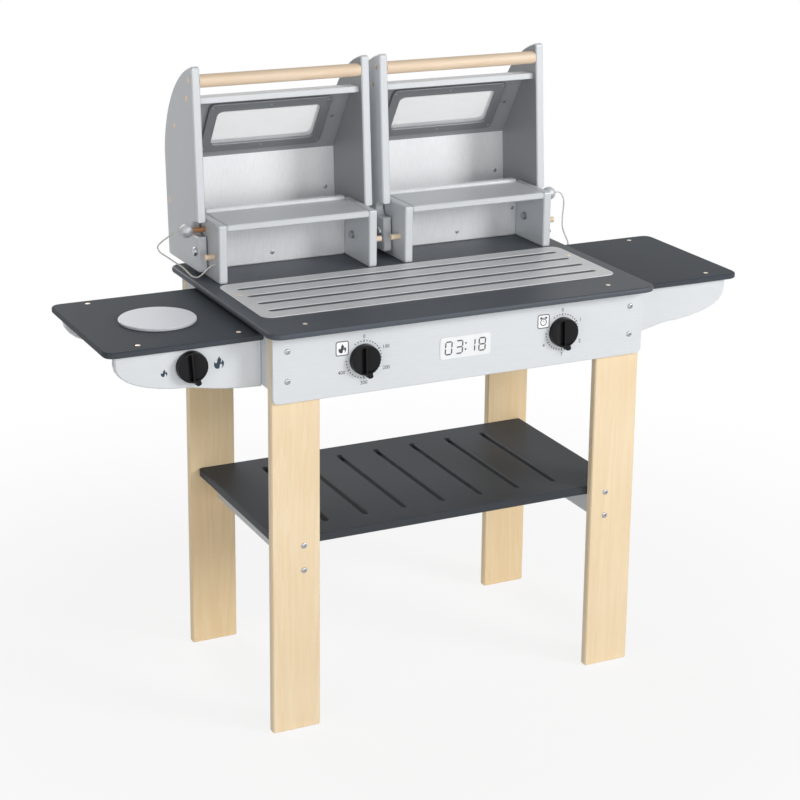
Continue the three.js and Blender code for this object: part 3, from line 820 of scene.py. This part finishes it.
@dataclass
class Dial:
    """A moulded knob: a disc with two scoops that leave a thin ridge, a pointer tab and a stub shaft."""

    node: str
    body: str
    turn: float
    palette: Palette
    radius: float = 20.1 * MM
    sides: int = 96
    taper: float = 0.4 * MM
    base: float = 9.5 * MM
    soft: float = 0.9 * MM
    soft_steps: int = 5
    ridge: float = 2.4 * MM
    scoop_depth: float = 4.5 * MM
    scoop_reach: float = 15.0 * MM
    scoop_radius: float = 17.4 * MM
    scoop_rise: float = 0.2 * MM
    scoop_curve: float = 1.4
    scoop_steps: int = 10
    tab_width: float = 7.2 * MM
    tab_length: float = 9.0 * MM
    tab_reach: float = 25.4 * MM
    tab_turn: float = -0.24
    tab_levels: tuple[Flat, ...] = ((1.0, 0.0), (0.3, 0.3), (1 / 18, 1.0))
    tab_corner: float = 0.8
    shaft: float = 4.0 * MM
    over: float = 2.0 * MM
    smooth: float = 30.0

    def build(self) -> None:
        """Builds the knob in place of its node."""
        joint = next(joint for joint in frame["joints"] if joint["child"] == self.body)
        low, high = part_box(self.node)
        back = Vector((joint["pos_m"][0], low.y + self.base, joint["pos_m"][2]))
        disc = Body("disc")
        disc.lathe(self._profile(high.y - back.y), Matrix.Identity(4), self.sides)
        tools = [(Carving.ADD, self._tab())] + [(Carving.CUT, self._scoop(side)) for side in (-1, 1)]
        knob = Body(self.node.replace("_dial", "_knob"))
        knob.copy_of(carved(disc, tools), seat(back, Way.FRONT.value) @ Matrix.Rotation(-self.turn, 4, "Z"))
        piece = knob.build(self.palette.knob, self.body, self.smooth)
        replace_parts(piece, self.node)

    def _profile(self, shaft: float) -> list[Flat]:
        """The half outline of the shaft and the disc, which has a soft rim.

        Args:
            shaft: How far the shaft reaches behind the disc.

        Returns:
            Pairs of radius and height.
        """
        face = self.radius - self.taper - self.soft
        profile = [(0.0, -shaft), (self.shaft, -shaft), (self.shaft, 0.0), (self.radius, 0.0)]
        for k in range(self.soft_steps + 1):
            angle = math.pi / 2 * k / self.soft_steps
            up = self.base - self.soft + self.soft * math.sin(angle)
            profile.append((face + self.soft * math.cos(angle), up))
        return profile + [(0.0, self.base)]

    def _tab(self) -> Body:
        """The pointer tab, as thick as the disc, with a soft edge whose levels are shares of the disc's.

        Returns:
            The tab, with the dial's axis as its Z.
        """
        tab = Body("tab")
        middle = Matrix.Rotation(-self.tab_turn, 4, "Z")
        middle = middle @ Matrix.Translation((0, self.tab_length / 2 - self.tab_reach, 0))
        soft = [(self.base - drop * self.soft, inset * self.soft) for drop, inset in self.tab_levels]
        rings = []
        for height, inset in [(0.0, 0.0), *soft]:
            width, length = self.tab_width - 2 * inset, self.tab_length - 2 * inset
            outline = rounded(width, length, self.tab_width / 3 - inset * self.tab_corner)
            rings.append([middle @ Vector((x, y, height)) for x, y in outline])
        tab.rings(rings)
        return tab

    def _scoop(self, side: int) -> Body:
        """The tool for the hollow on one side of the ridge, deepest beside the ridge.

        Args:
            side: -1 or 1.

        Returns:
            The tool, with the dial's axis as its Z.
        """
        scoop = Body("scoop")
        rings = []
        for k in range(self.scoop_steps + 1):
            share = k / self.scoop_steps
            x = self.ridge / 2 + self.scoop_reach * share
            half = math.sqrt(self.scoop_radius ** 2 - x ** 2)
            floor = self.base + self.scoop_rise * share - self.scoop_depth * (1 - share) ** self.scoop_curve
            top = self.base + self.over
            section = ((-half, floor), (half, floor), (half, top), (-half, top))
            rings.append([Vector((side * x, y, z)) for y, z in section])
        scoop.rings(rings)
        return scoop


@dataclass
class LockPeg:
    """A lock peg: a brown dowel in a silver ball that is bored for its tether."""

    side: str
    palette: Palette
    ball_radius: float = 9.6 * MM
    ball_centre: float = 280.0
    ball_steps: int = 28
    pin_radius: float = 3.5 * MM
    pin_edge: float = 0.6 * MM
    pin_sides: int = 32
    pin_sunk: float = 0.9
    tip: float = 249.0
    bore_radius: float = 1.5 * MM
    bore_depth: float = 4.8 * MM
    y: float = 270.0
    z: float = 617.5

    def build(self) -> None:
        """Builds the ball and the pin in place of the node."""
        sign, way = SIDES[self.side]
        node, body = f"{self.side}_lock_peg", f"{self.side}_lock"
        ball = Body(f"{body}_ball")
        ball.lathe(self._ball_profile(), on_board(sign * self.ball_centre, self.y, self.z, way))
        piece = ball.build(self.palette.ball, body)
        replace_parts(piece, node)
        length = (self.ball_centre - self.tip) * MM - self.ball_radius * self.pin_sunk
        profile = [(0.0, 0.0), (self.pin_radius - self.pin_edge, 0.0), (self.pin_radius, self.pin_edge),
                   (self.pin_radius, length), (0.0, length)]
        pin = Body(f"{body}_pin")
        pin.lathe(profile, on_board(sign * self.tip, self.y, self.z, way), self.pin_sides)
        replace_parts(pin.build(self.palette.peg, body), node)

    def _ball_profile(self) -> list[Flat]:
        """The ball's half outline, down into its bore.

        Returns:
            Pairs of radius and height.
        """
        radius = self.ball_radius
        last = math.pi - math.asin(self.bore_radius / radius)
        turns = [last * k / self.ball_steps for k in range(1, self.ball_steps + 1)]
        profile = [(0.0, -radius)] + [(radius * math.sin(turn), -radius * math.cos(turn)) for turn in turns]
        floor = -radius * math.cos(last) - self.bore_depth
        return profile + [(self.bore_radius, floor), (0.0, floor)]


LEFT_TETHER: tuple[Point, ...] = (
    (-285, 270, 617.5), (-289.5, 270, 617.5), (-295, 275, 615.5), (-301, 288, 606), (-305, 301, 597),
    (-307, 310, 588), (-304, 309, 581.5), (-299, 299, 577.5), (-293, 283, 573), (-287, 266, 568.5),
    (-283, 256, 563), (-279.5, 248.5, 559.3), (-275, 241.5, 560), (-270, 237, 565), (-264, 235, 571.2),
    (-258.2, 234.5, 575.6), (-253.5, 234.5, 576.5), (-247.8, 234.5, 576.5),
)
RIGHT_TETHER: tuple[Point, ...] = (
    (285, 270, 617.5), (289.5, 270, 617.5), (295.5, 270, 618.2), (301, 270, 615), (305, 270, 607),
    (306, 270, 599), (305, 270, 588), (304.2, 270, 577), (304.4, 270, 568), (306.5, 270, 559),
    (311.5, 270.5, 548), (316.5, 272, 538), (315, 277, 529.5), (306, 283, 525), (295, 288, 528),
    (287, 290, 537), (282.3, 289, 548), (277.5, 284, 556.8), (273.5, 274, 559.8), (271.5, 261, 562),
    (270, 249, 565), (267, 240.5, 569), (262.5, 236, 573.2), (258, 234.6, 575.8), (253.5, 234.5, 576.5),
    (247.8, 234.5, 576.5),
)


@dataclass
class Tether:
    """A thin cord from a lock peg's ball to the hole in its rack."""

    side: str
    route: Sequence[Point]
    palette: Palette
    radius: float = 1.0 * MM
    sides: int = 12
    fine: int = 6
    shortest: float = 1e-9

    def _centres(self) -> list[Vector]:
        """Points on a smooth curve through the route.

        Returns:
            The points, from the ball to the rack.
        """
        points = [drawn(*point) for point in self.route]
        padded = [2 * points[0] - points[1], *points, 2 * points[-1] - points[-2]]
        centres: list[Vector] = []
        for stretch in zip(padded, padded[1:], padded[2:], padded[3:]):
            knots = [0.0]
            for p, q in zip(stretch, stretch[1:]):
                knots.append(knots[-1] + max((q - p).length, self.shortest) ** 0.5)
            for k in range(self.fine):
                along = knots[1] + (knots[2] - knots[1]) * k / self.fine
                centres.append(self._on_curve(stretch, knots, along))
        return centres + [points[-1]]

    @staticmethod
    def _on_curve(points: Sequence[Vector], knots: Sequence[float], t: float) -> Vector:
        """A centripetal Catmull-Rom curve's point.

        Args:
            points: The four points that shape the stretch.
            knots: Their knot values.
            t: The knot value of the point that is asked for.

        Returns:
            The point.
        """
        for ends in (((0, 1), (1, 2), (2, 3)), ((0, 2), (1, 3)), ((1, 2),)):
            points = [points[i].lerp(points[i + 1], (t - knots[low]) / (knots[high] - knots[low]))
                      for i, (low, high) in enumerate(ends)]
        return points[0]

    def build(self) -> None:
        """Builds the cord in place of its node, along a smooth curve from the peg to the rack."""
        centres = self._centres()
        tube = Body(f"{self.side}_tether_cord")
        rings = []
        up = Vector((0, 0, 1))
        for i, centre in enumerate(centres):
            along = (centres[min(i + 1, len(centres) - 1)] - centres[max(i - 1, 0)]).normalized()
            up = (up - along * up.dot(along)).normalized()
            beside = along.cross(up)
            rings.append([centre + x * up + y * beside for x, y in circle(self.radius, self.sides)])
        tube.rings(rings)
        piece = tube.placed()
        piece.data.materials.append(self.palette.cord)
        piece.data.polygons.foreach_set("use_smooth", [True] * len(piece.data.polygons))
        length = sum((q - p).length for p, q in zip(centres, centres[1:]))
        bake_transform(piece)
        LOG.info("%s joins stand and %s_lock and is %.1f mm long", piece.name, self.side, length / MM)
        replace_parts(piece, f"{self.side}_tether")


class Recess(Enum):
    """The driver recess of a head, as its number of corners."""

    CROSS = 4
    HEXAGON = 6


@dataclass(frozen=True)
class Head:
    """A low domed head of a screw or bolt, with a recess. The dome is in shares of its radius and height."""

    radius: float
    height: float = 1.6 * MM
    recess: Recess = Recess.HEXAGON
    dome: tuple[Flat, ...] = ((1.0, 0.35), (0.88, 0.75), (0.66, 0.97), (0.6, 1.0))
    sides: int = 24
    sunk: float = 0.5 * MM
    reach: float = 0.52
    arm: float = 0.24
    floor: float = 0.25
    cutter: float = 3.0 * MM

    def mesh(self) -> Mesh:
        """One head, with its recess cut out.

        Returns:
            The mesh, which stands on the board's face at local Z 0.
        """
        dome = Body("dome")
        edge = [(self.radius * across, self.height * up) for across, up in self.dome]
        dome.lathe([(0.0, -self.sunk), (self.radius, -self.sunk), *edge, (0.0, self.height)],
                   Matrix.Identity(4), self.sides)
        recess = Body("recess")
        recess.prism(self._outline(), self.cutter, Matrix.Translation((0, 0, self.height * self.floor)))
        return carved(dome, [(Carving.CUT, recess)])

    def _outline(self) -> list[Flat]:
        """The outline of the recess.

        Returns:
            Its points, a regular hexagon or a cross.
        """
        arm = self.radius * self.reach
        if self.recess is Recess.HEXAGON:
            return circle(arm, Recess.HEXAGON.value)
        half = arm * self.arm
        quarter = [(half, half), (half, arm), (-half, arm)]
        turns = ((1, 0), (0, 1), (-1, 0), (0, -1))
        return [(x * c - y * s, x * s + y * c) for c, s in turns for x, y in quarter]


@dataclass
class Screws:
    """A set of like screws or bolts, each turned another way."""

    name: str
    body: str
    material: Material
    places: Sequence[Matrix]
    head: Head
    first_turn: float = 0.3
    next_turn: float = 1.1
    smooth: float = 40.0

    def build(self) -> None:
        """Builds the whole set as one piece."""
        mesh = self.head.mesh()
        heads = Body(self.name)
        for i, place in enumerate(self.places):
            heads.copy_of(mesh, place @ Matrix.Rotation(self.first_turn + self.next_turn * i, 4, "Z"))
        heads.build(self.material, self.body, self.smooth)


@dataclass
class Fasteners:
    """The bolts and screws of the stand, its tops and its racks."""

    palette: Palette
    bolt: Head = Head(3.9 * MM)
    back_bolt: Head = Head(2.9 * MM, 0.8 * MM)
    top_screw: Head = Head(3.2 * MM, 0.6 * MM, Recess.CROSS)
    plate_screw: Head = Head(3.4 * MM, 0.6 * MM, Recess.CROSS)
    rack_screw: Head = Head(2.2 * MM, 0.35 * MM, Recess.CROSS)
    bolts: tuple[tuple[str, Way, tuple[float, ...]], ...] = (
        ("panel_bolts", Way.FRONT, (250.0, -6.0, 523.0, 484.0)),
        ("apron_bolts", Way.BACK, (250.0, 318.0, 523.0, 484.0)),
        ("front_leg_bolts", Way.FRONT, (225.6, 0.0, 257.7, 223.7)),
        ("rear_leg_bolts", Way.BACK, (225.6, 312.0, 257.7, 223.7)),
    )
    tabletop_spot: Point = (221.0, 5.0, 553.0)
    side_top_spots: tuple[Flat, ...] = ((-428, 41), (-428, 242), (-295, 43), (402, 40), (402, 240))
    side_top_z: float = 541.0
    plate_spot: Point = (249.0, 157.0, 554.2)
    back_spots: tuple[Point, ...] = ((144.3, 297.0, 567.6), (234.5, 297.0, 594.6))
    rack_spot: Point = (253.5, 236.0, 632.0)

    def build(self) -> None:
        """Builds the sets, from places in the drawing."""
        zinc, brass = self.palette.zinc, self.palette.brass
        for name, way, spots in self.bolts:
            Screws(name, "stand", zinc, self._pairs(way, *spots), self.bolt).build()
        tops = self._pairs(Way.UP, *self.tabletop_spot)
        tops += [on_board(x, y, self.side_top_z, Way.UP) for x, y in self.side_top_spots]
        Screws("top_screws", "stand", brass, tops, self.top_screw).build()
        plate = self._pairs(Way.UP, *self.plate_spot)
        Screws("plate_screws", "stand", brass, plate, self.plate_screw).build()
        backs = [place for spot in self.back_spots for place in self._pairs(Way.FRONT, *spot)]
        Screws("rack_back_bolts", "stand", zinc, backs, self.back_bolt).build()
        x, y, z = self.rack_spot
        for side, (sign, way) in SIDES.items():
            rack = [on_board(sign * x, y, z, way)]
            Screws(f"{side}_rack_screws", "stand", zinc, rack, self.rack_screw).build()

    @staticmethod
    def _pairs(way: Way, x: float, y: float, *heights: float) -> list[Matrix]:
        """Places to the left and right of the middle, at one or more heights."""
        return [on_board(sign * x, y, z, way) for sign in (-1, 1) for z in heights]


@dataclass
class HoodScrews:
    """The screws of one hood: in its cheeks, its window frame and its back."""

    side: str
    palette: Palette
    lean: float = math.radians(4.2)
    pivot: Flat = (271.5, 587.5)
    middle: float = 137.5
    slope: float = math.radians(52.4)
    slope_place: Flat = (53.29, 158.9)
    frame_face: float = 4.0
    frame_spots: tuple[Flat, ...] = tuple((x, up) for x in (-85.5, 0.0, 85.5) for up in (-38.0, 38.0))
    cheek_face: float = 129.5
    cheek_spots: tuple[Flat, ...] = ((-2.5, 230.8), (9.0, 206.0), (61.2, 163.5), (93.0, 57.5))
    back_spot: Point = (103.0, 88.0, 56.0)
    slope_spot: Point = (100.5, 3.0, -0.3)
    cheek_screw: Head = Head(3.4 * MM, 0.45 * MM, Recess.CROSS)
    frame_screw: Head = Head(2.0 * MM, 0.6 * MM, Recess.CROSS)
    wall_screw: Head = Head(2.9 * MM, 0.6 * MM, Recess.CROSS)

    def _point(self, x: float, u: float, v: float) -> Vector:
        """Place of a point of the hood in the model's frame.

        Args:
            x: Millimetres from the hood's middle.
            u: Millimetres behind its pivot.
            v: Millimetres above its pivot.

        Returns:
            The point in metres.
        """
        c, s = math.cos(self.lean), math.sin(self.lean)
        sign, _ = SIDES[self.side]
        return drawn(sign * self.middle + x, self.pivot[0] + u * c + v * s, self.pivot[1] - u * s + v * c)

    def _way(self, u: float, v: float) -> Vector:
        """Direction of the hood in the model's frame."""
        c, s = math.cos(self.lean), math.sin(self.lean)
        return Vector((0, u * c + v * s, v * c - u * s))

    def build(self) -> None:
        """Builds the three sets."""
        body, zinc = f"{self.side}_hood", self.palette.zinc
        cheeks = [seat(self._point(sign * self.cheek_face, u, v), way.value)
                  for sign, way in SIDES.values() for u, v in self.cheek_spots]
        Screws(f"{body}_cheek_screws", body, self.palette.copper, cheeks, self.cheek_screw).build()
        face = [self._on_slope(x, up, self.frame_face) for x, up in self.frame_spots]
        Screws(f"{body}_frame_screws", body, zinc, face, self.frame_screw).build()
        x, u, v = self.back_spot
        wall = [seat(self._point(sign * x, u, v), self._way(-1, 0)) for sign in (-1, 1)]
        x, up, out = self.slope_spot
        wall += [self._on_slope(sign * x, up, out) for sign in (-1, 1)]
        Screws(f"{body}_wall_screws", body, zinc, wall, self.wall_screw).build()

    def _on_slope(self, x: float, up: float, out: float) -> Matrix:
        """Frame on the slope's inner face.

        Args:
            x: Millimetres from the hood's middle.
            up: Millimetres up along the slope.
            out: Millimetres out from it.

        Returns:
            The frame, whose Z looks into the hood.
        """
        c, s = math.cos(self.slope), math.sin(self.slope)
        u = self.slope_place[0] - up * c - out * s
        v = self.slope_place[1] + up * s - out * c
        return seat(self._point(x, u, v), self._way(-s, -c))


@dataclass
class DialPrint:
    """The ring of marks, the numbers and the boxed icon round one dial of the panel."""

    palette: Palette
    name: str
    x: float
    icon_x: float
    numbers: tuple[tuple[str, float, float], ...]
    z: float = 500.0
    face: float = -6.0
    ring: float = 24.4
    steps: range = range(-3, 28)
    step: float = math.radians(10.0)
    numbered: int = 6
    dot: float = 0.86 * MM
    dot_sides: int = 12
    dash: tuple[float, float, float, int] = (1.2 * MM, 3.4 * MM, 0.3 * MM, 2)
    number_height: float = 4.8 * MM
    icon_z: float = 517.8
    box: Point = (18.1 * MM, 19.3 * MM, 3.0 * MM)
    box_hole: Point = (15.8 * MM, 17.0 * MM, 2.0 * MM)
    ground: Point = (16.4 * MM, 17.6 * MM, 2.3 * MM)
    ground_drop: float = 0.06 * MM
    sink: float = 0.12 * MM
    depth: float = 0.24 * MM

    def at(self, x: float, z: float) -> Matrix:
        """Frame just under the panel's face at a point of the drawing."""
        return on_board(x, self.face, z, Way.FRONT) @ Matrix.Translation((0, 0, -self.sink))

    def build(self) -> None:
        """Builds the marks and the icon."""
        marks = Body(f"{self.name}_marks")
        for step in self.steps:
            self._mark(marks, self.step * step, step % self.numbered == 0)
        for text, x, z in self.numbers:
            marks.number(text, self.number_height, self.depth, self.at(x, z))
        marks.build(self.palette.ink, "stand")
        icon = Body(f"{self.name}_icon")
        place = self.at(self.icon_x, self.icon_z)
        icon.band(rounded(*self.box), rounded(*self.box_hole), self.depth, place)
        self.draw_icon(icon, place)
        icon.build(self.palette.ink, "stand")
        ground = Body(f"{self.name}_icon_ground")
        ground.prism(rounded(*self.ground), self.depth - self.ground_drop, place)
        ground.build(self.palette.white, "stand")

    def _mark(self, marks: Body, turn: float, long: bool) -> None:
        """Adds a dot, or a short line where a number stands.

        Args:
            marks: The mesh that it goes into.
            turn: Its angle from the top, in radians.
            long: Whether it is a line.
        """
        place = self.at(self.x + self.ring * math.sin(turn), self.z + self.ring * math.cos(turn))
        outline = rounded(*self.dash) if long else circle(self.dot, self.dot_sides)
        marks.prism(outline, self.depth, place @ Matrix.Rotation(-turn, 4, "Z"))

    def draw_icon(self, icon: Body, place: Matrix) -> None:
        """Draws the icon inside the box."""
        raise NotImplementedError


FLAME: tuple[Flat, ...] = (
    (-0.10, -0.50), (-0.26, -0.45), (-0.37, -0.33), (-0.42, -0.17), (-0.40, -0.02), (-0.36, 0.09),
    (-0.29, -0.03), (-0.20, -0.04), (-0.14, 0.06), (-0.13, 0.19), (-0.07, 0.33), (0.05, 0.50), (0.05, 0.39),
    (0.13, 0.32), (0.21, 0.19), (0.19, 0.07), (0.13, -0.03), (0.22, 0.01), (0.31, 0.16), (0.40, 0.05),
    (0.44, -0.12), (0.41, -0.27), (0.33, -0.40), (0.23, -0.48), (0.28, -0.36), (0.29, -0.23), (0.22, -0.13),
    (0.10, -0.16), (0.07, -0.29), (0.06, -0.40), (0.0, -0.47),
)
FLAME_WIDTH = 0.86


def flame(body: Body, width: float, height: float, depth: float, place: Matrix) -> None:
    """Adds a plain flame sign of a width and a height in metres."""
    body.prism([(x * width / FLAME_WIDTH, y * height) for x, y in FLAME], depth, place)


@dataclass
class OvenPrint(DialPrint):
    """The oven dial's marks, with a flame in the box."""

    name: str = "oven"
    x: float = -145.0
    icon_x: float = -175.2
    numbers: tuple[tuple[str, float, float], ...] = (
        ("0", -144.7, 530.3), ("100", -113.7, 513.4), ("200", -113.6, 485.2), ("300", -144.9, 468.9),
        ("400", -176.2, 485.9),
    )
    flame_size: Flat = (10.5 * MM, 12.4 * MM)

    def draw_icon(self, icon: Body, place: Matrix) -> None:
        """Draws the flame."""
        flame(icon, *self.flame_size, self.depth, place)


@dataclass
class TimerPrint(DialPrint):
    """The timer dial's marks, with a small clock with bells in the box."""

    name: str = "timer"
    x: float = 145.0
    icon_x: float = 116.2
    numbers: tuple[tuple[str, float, float], ...] = (
        ("0", 145.0, 530.4), ("1", 172.6, 514.1), ("2", 172.4, 484.6), ("3", 145.0, 469.6),
        ("4", 117.2, 484.7),
    )
    clock_drop: float = 1.1 * MM
    clock_radius: float = 4.9 * MM
    clock_hole: float = 3.8 * MM
    clock_sides: int = 28
    bell_place: Flat = (3.8 * MM, 4.7 * MM)
    bell_radius: float = 1.6 * MM
    bell_sides: int = 14
    bar_end: Flat = (3.2 * MM, 4.6 * MM)
    bar_width: float = 0.8 * MM
    hands: tuple[Flat, ...] = ((0.0, 2.4 * MM), (2.0 * MM, 1.0 * MM))
    hand_width: float = 0.6 * MM

    def draw_icon(self, icon: Body, place: Matrix) -> None:
        """Draws the clock.

        Args:
            icon: The mesh that it goes into.
            place: The middle of the box.
        """
        centre = place @ Matrix.Translation((0, -self.clock_drop, 0))
        ring, hole = (circle(radius, self.clock_sides) for radius in (self.clock_radius, self.clock_hole))
        icon.band(ring, hole, self.depth, centre)
        bell_x, bell_y = self.bell_place
        for sign in (-1, 1):
            bell = place @ Matrix.Translation((sign * bell_x, bell_y, 0))
            icon.prism(circle(self.bell_radius, self.bell_sides), self.depth, bell)
        x, y = self.bar_end
        icon.prism(line((-x, y), (x, y), self.bar_width), self.depth, place)
        for hand in self.hands:
            icon.prism(line((0.0, 0.0), hand, self.hand_width), self.depth, centre)


@dataclass
class DisplayPrint:
    """The time on the display, in slanted bars."""

    palette: Palette
    height: float = 18.6
    width: float = 10.8
    stroke: float = 1.7
    gap: float = 0.45
    slant: float = 0.05
    cells: tuple[tuple[str, float], ...] = (("0", -24.6), ("3", -9.0), ("1", 9.0), ("8", 24.4))
    dot: float = 1.25
    dot_sides: int = 10
    dot_x: float = 0.3
    dot_up: float = 4.2
    sink: float = 0.1 * MM
    depth: float = 0.2 * MM

    def build(self) -> None:
        """Builds the bars of the digits and the colon."""
        low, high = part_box("display_plate")
        digits = Body("display_digits")
        middle = (low + high) / 2
        base = seat(Vector((middle.x, low.y + self.sink, middle.z)), Way.FRONT.value)
        for text, x in self.cells:
            for start, end in self._bars(text):
                digits.prism(self._leaning(line(start, end, self.stroke), x), self.depth, base)
        for up in (self.dot_up, -self.dot_up):
            dot = [(x, y + up) for x, y in circle(self.dot, self.dot_sides)]
            digits.prism(self._leaning(dot, self.dot_x), self.depth, base)
        digits.build(self.palette.ink, "stand")

    def _leaning(self, outline: Sequence[Flat], x: float) -> list[Flat]:
        """An outline in metres, moved along the display and leaned."""
        return [((x + px + py * self.slant) * MM, py * MM) for px, py in outline]

    def _bars(self, text: str) -> list[tuple[Flat, Flat]]:
        """The centre lines of a digit's bars.

        Args:
            text: The digit.

        Returns:
            Both ends of each bar.
        """
        w, h, gap = (self.width - self.stroke) / 2, (self.height - self.stroke) / 2, self.gap
        bars = {
            "top": ((-w + gap, h), (w - gap, h)), "middle": ((-w + gap, 0.0), (w - gap, 0.0)),
            "bottom": ((-w + gap, -h), (w - gap, -h)), "upper_left": ((-w, gap), (-w, h - gap)),
            "upper_right": ((w, gap), (w, h - gap)), "lower_left": ((-w, gap - h), (-w, -gap)),
            "lower_right": ((w, gap - h), (w, -gap)),
        }
        unlit = {"0": ("middle",), "3": ("upper_left", "lower_left"), "8": (),
                 "1": ("top", "middle", "bottom", "upper_left", "lower_left")}
        return [bar for name, bar in bars.items() if name not in unlit[text]]


@dataclass
class BurnerPrint:
    """The small and the large flame beside the burner's dial, by place and size in millimetres."""

    palette: Palette
    face: float = 30.0
    depth: float = 0.24 * MM
    flames: tuple[tuple[float, ...], ...] = ((-399.2, 504.6, 8.6, 9.8), (-327.2, 509.2, 13.4, 16.8))

    def build(self) -> None:
        """Builds both flames."""
        flames = Body("burner_flames")
        for x, z, width, height in self.flames:
            place = on_board(x, self.face, z, Way.FRONT) @ Matrix.Translation((0, 0, -self.depth / 2))
            flame(flames, width * MM, height * MM, self.depth, place)
        flames.build(self.palette.navy, "stand")


@dataclass
class Viewpoint:
    """The photograph's viewpoint."""

    place: Point = (-1.173785, -2.421132, 1.287207)
    yaw: float = 26.0781
    pitch: float = 15.2465
    roll: float = 0.5535
    focal: float = 2041.86
    shift: float = -0.16
    side: float = 800.0
    sensor: float = 36.0

    def build(self) -> None:
        """Makes the scene's camera."""
        yaw, pitch, roll = (math.radians(angle) for angle in (self.yaw, self.pitch, self.roll))
        ahead = Vector((math.sin(yaw) * math.cos(pitch), math.cos(yaw) * math.cos(pitch), -math.sin(pitch)))
        level = Vector((math.cos(yaw), -math.sin(yaw), 0.0))
        upright = level.cross(ahead)
        right = math.cos(roll) * level + math.sin(roll) * upright
        up = math.cos(roll) * upright - math.sin(roll) * level
        data = bpy.data.cameras.new("viewpoint")
        data.sensor_width = self.sensor
        data.lens = self.focal / self.side * self.sensor
        data.shift_y = self.shift
        camera = bpy.data.objects.new("viewpoint", data)
        turn = Matrix((right, up, -ahead)).transposed().to_4x4()
        camera.matrix_world = Matrix.Translation(self.place) @ turn
        bpy.context.scene.collection.objects.link(camera)
        bpy.context.scene.camera = camera


@dataclass
class Lamp:
    """A square soft lamp that faces the grill."""

    name: str
    place: Point
    size: float
    power: float
    target: Point = (0.0, 0.0, 0.45)

    def build(self) -> None:
        """Makes the lamp."""
        data = bpy.data.lights.new(self.name, "AREA")
        data.shape = "SQUARE"
        data.size = self.size
        data.energy = self.power
        lamp = bpy.data.objects.new(self.name, data)
        lamp.location = self.place
        ahead = Vector(self.target) - Vector(self.place)
        lamp.rotation_euler = ahead.to_track_quat("-Z", "Y").to_euler()
        bpy.context.scene.collection.objects.link(lamp)


@dataclass
class Studio:
    """A white floor, soft lamps and a pale world."""

    world_light: float = 0.14
    white: Color = (1.0, 1.0, 1.0)
    floor_paint: Color = (0.90, 0.90, 0.90)
    floor_white: float = 0.84
    floor_fade: Flat = (0.35, 1.3)
    floor_half: float = 60.0
    lamps: tuple[Lamp, ...] = (
        Lamp("key_lamp", (2.4, -2.9, 2.0), 1.3, 80.0),
        Lamp("front_lamp", (-0.2, -3.6, 1.2), 2.4, 38.0),
        Lamp("left_lamp", (-2.7, -1.8, 1.1), 1.6, 15.0),
        Lamp("rear_lamp", (-0.6, 3.2, 2.2), 2.0, 44.0),
    )

    def build(self) -> None:
        """Makes the lamps, the floor and the world."""
        for lamp in self.lamps:
            lamp.build()
        self._floor()
        self._world()
        bpy.context.scene.view_settings.view_transform = "Standard"

    def _floor(self) -> None:
        """Lays a pale floor that keeps the grill's soft shadow."""
        tree = paint_pot("floor")
        seen = tree.add("LightPath", out="Is Camera Ray") + tree.add("LightPath", out="Is Glossy Ray")
        away = tree.add("VectorMath", {"operation": "LENGTH"}, {0: tree.place()}, out="Value")
        share = self.floor_white + away.smooth(*self.floor_fade) * (1 - self.floor_white)
        paint = tree.add("BsdfDiffuse", {}, {"Color": self.floor_paint})
        white = tree.add("Emission", {}, {"Color": self.white, "Strength": 1.0})
        surface = tree.add("MixShader", {}, {0: seen * share, 1: paint, 2: white})
        tree.add("OutputMaterial", {}, {"Surface": surface})
        floor = Body("floor")
        half = self.floor_half
        outline = ((-half, -half), (half, -half), (half, half), (-half, half))
        floor.mesh.faces.new([floor.mesh.verts.new((x, y, 0)) for x, y in outline])
        piece = floor.placed()
        piece.data.materials.append(tree.owner)

    def _world(self) -> None:
        """Lights evenly, and shows white behind the grill and through its panes."""
        world = bpy.data.worlds.new("studio")
        bpy.context.scene.world = world
        tree = Tree(world)
        rays = ("Is Camera Ray", "Is Glossy Ray", "Is Transmission Ray")
        camera, glossy, through = (tree.add("LightPath", out=ray) for ray in rays)
        light = tree.add("Background", {}, {"Color": self.white, "Strength": self.world_light})
        white = tree.add("Background", {}, {"Color": self.white, "Strength": 1.0})
        surface = tree.add("MixShader", {}, {0: camera + glossy + through, 1: light, 2: white})
        tree.add("OutputWorld", {}, {"Surface": surface})


KNOB_TURNS: Mapping[str, float] = {"oven": -0.02, "timer": -0.02, "burner": -0.08}
CORDS: Mapping[str, Sequence[Point]] = {"left": LEFT_TETHER, "right": RIGHT_TETHER}


def main() -> None:
    """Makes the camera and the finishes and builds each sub-assembly."""
    logging.basicConfig(level=logging.INFO, format="%(name)s: %(message)s")
    Viewpoint().build()
    palette = Palette()
    BoardFinishes(palette).dress()
    for side, route in CORDS.items():
        Tether(side, route, palette).build()
        LockPeg(side, palette).build()
        HoodScrews(side, palette).build()
    for knob, turn in KNOB_TURNS.items():
        Dial(f"{knob}_dial", f"{knob}_knob", turn, palette).build()
    Fasteners(palette).build()
    OvenPrint(palette).build()
    TimerPrint(palette).build()
    DisplayPrint(palette).build()
    BurnerPrint(palette).build()
    Studio().build()


if __name__ == "__main__":
    main()
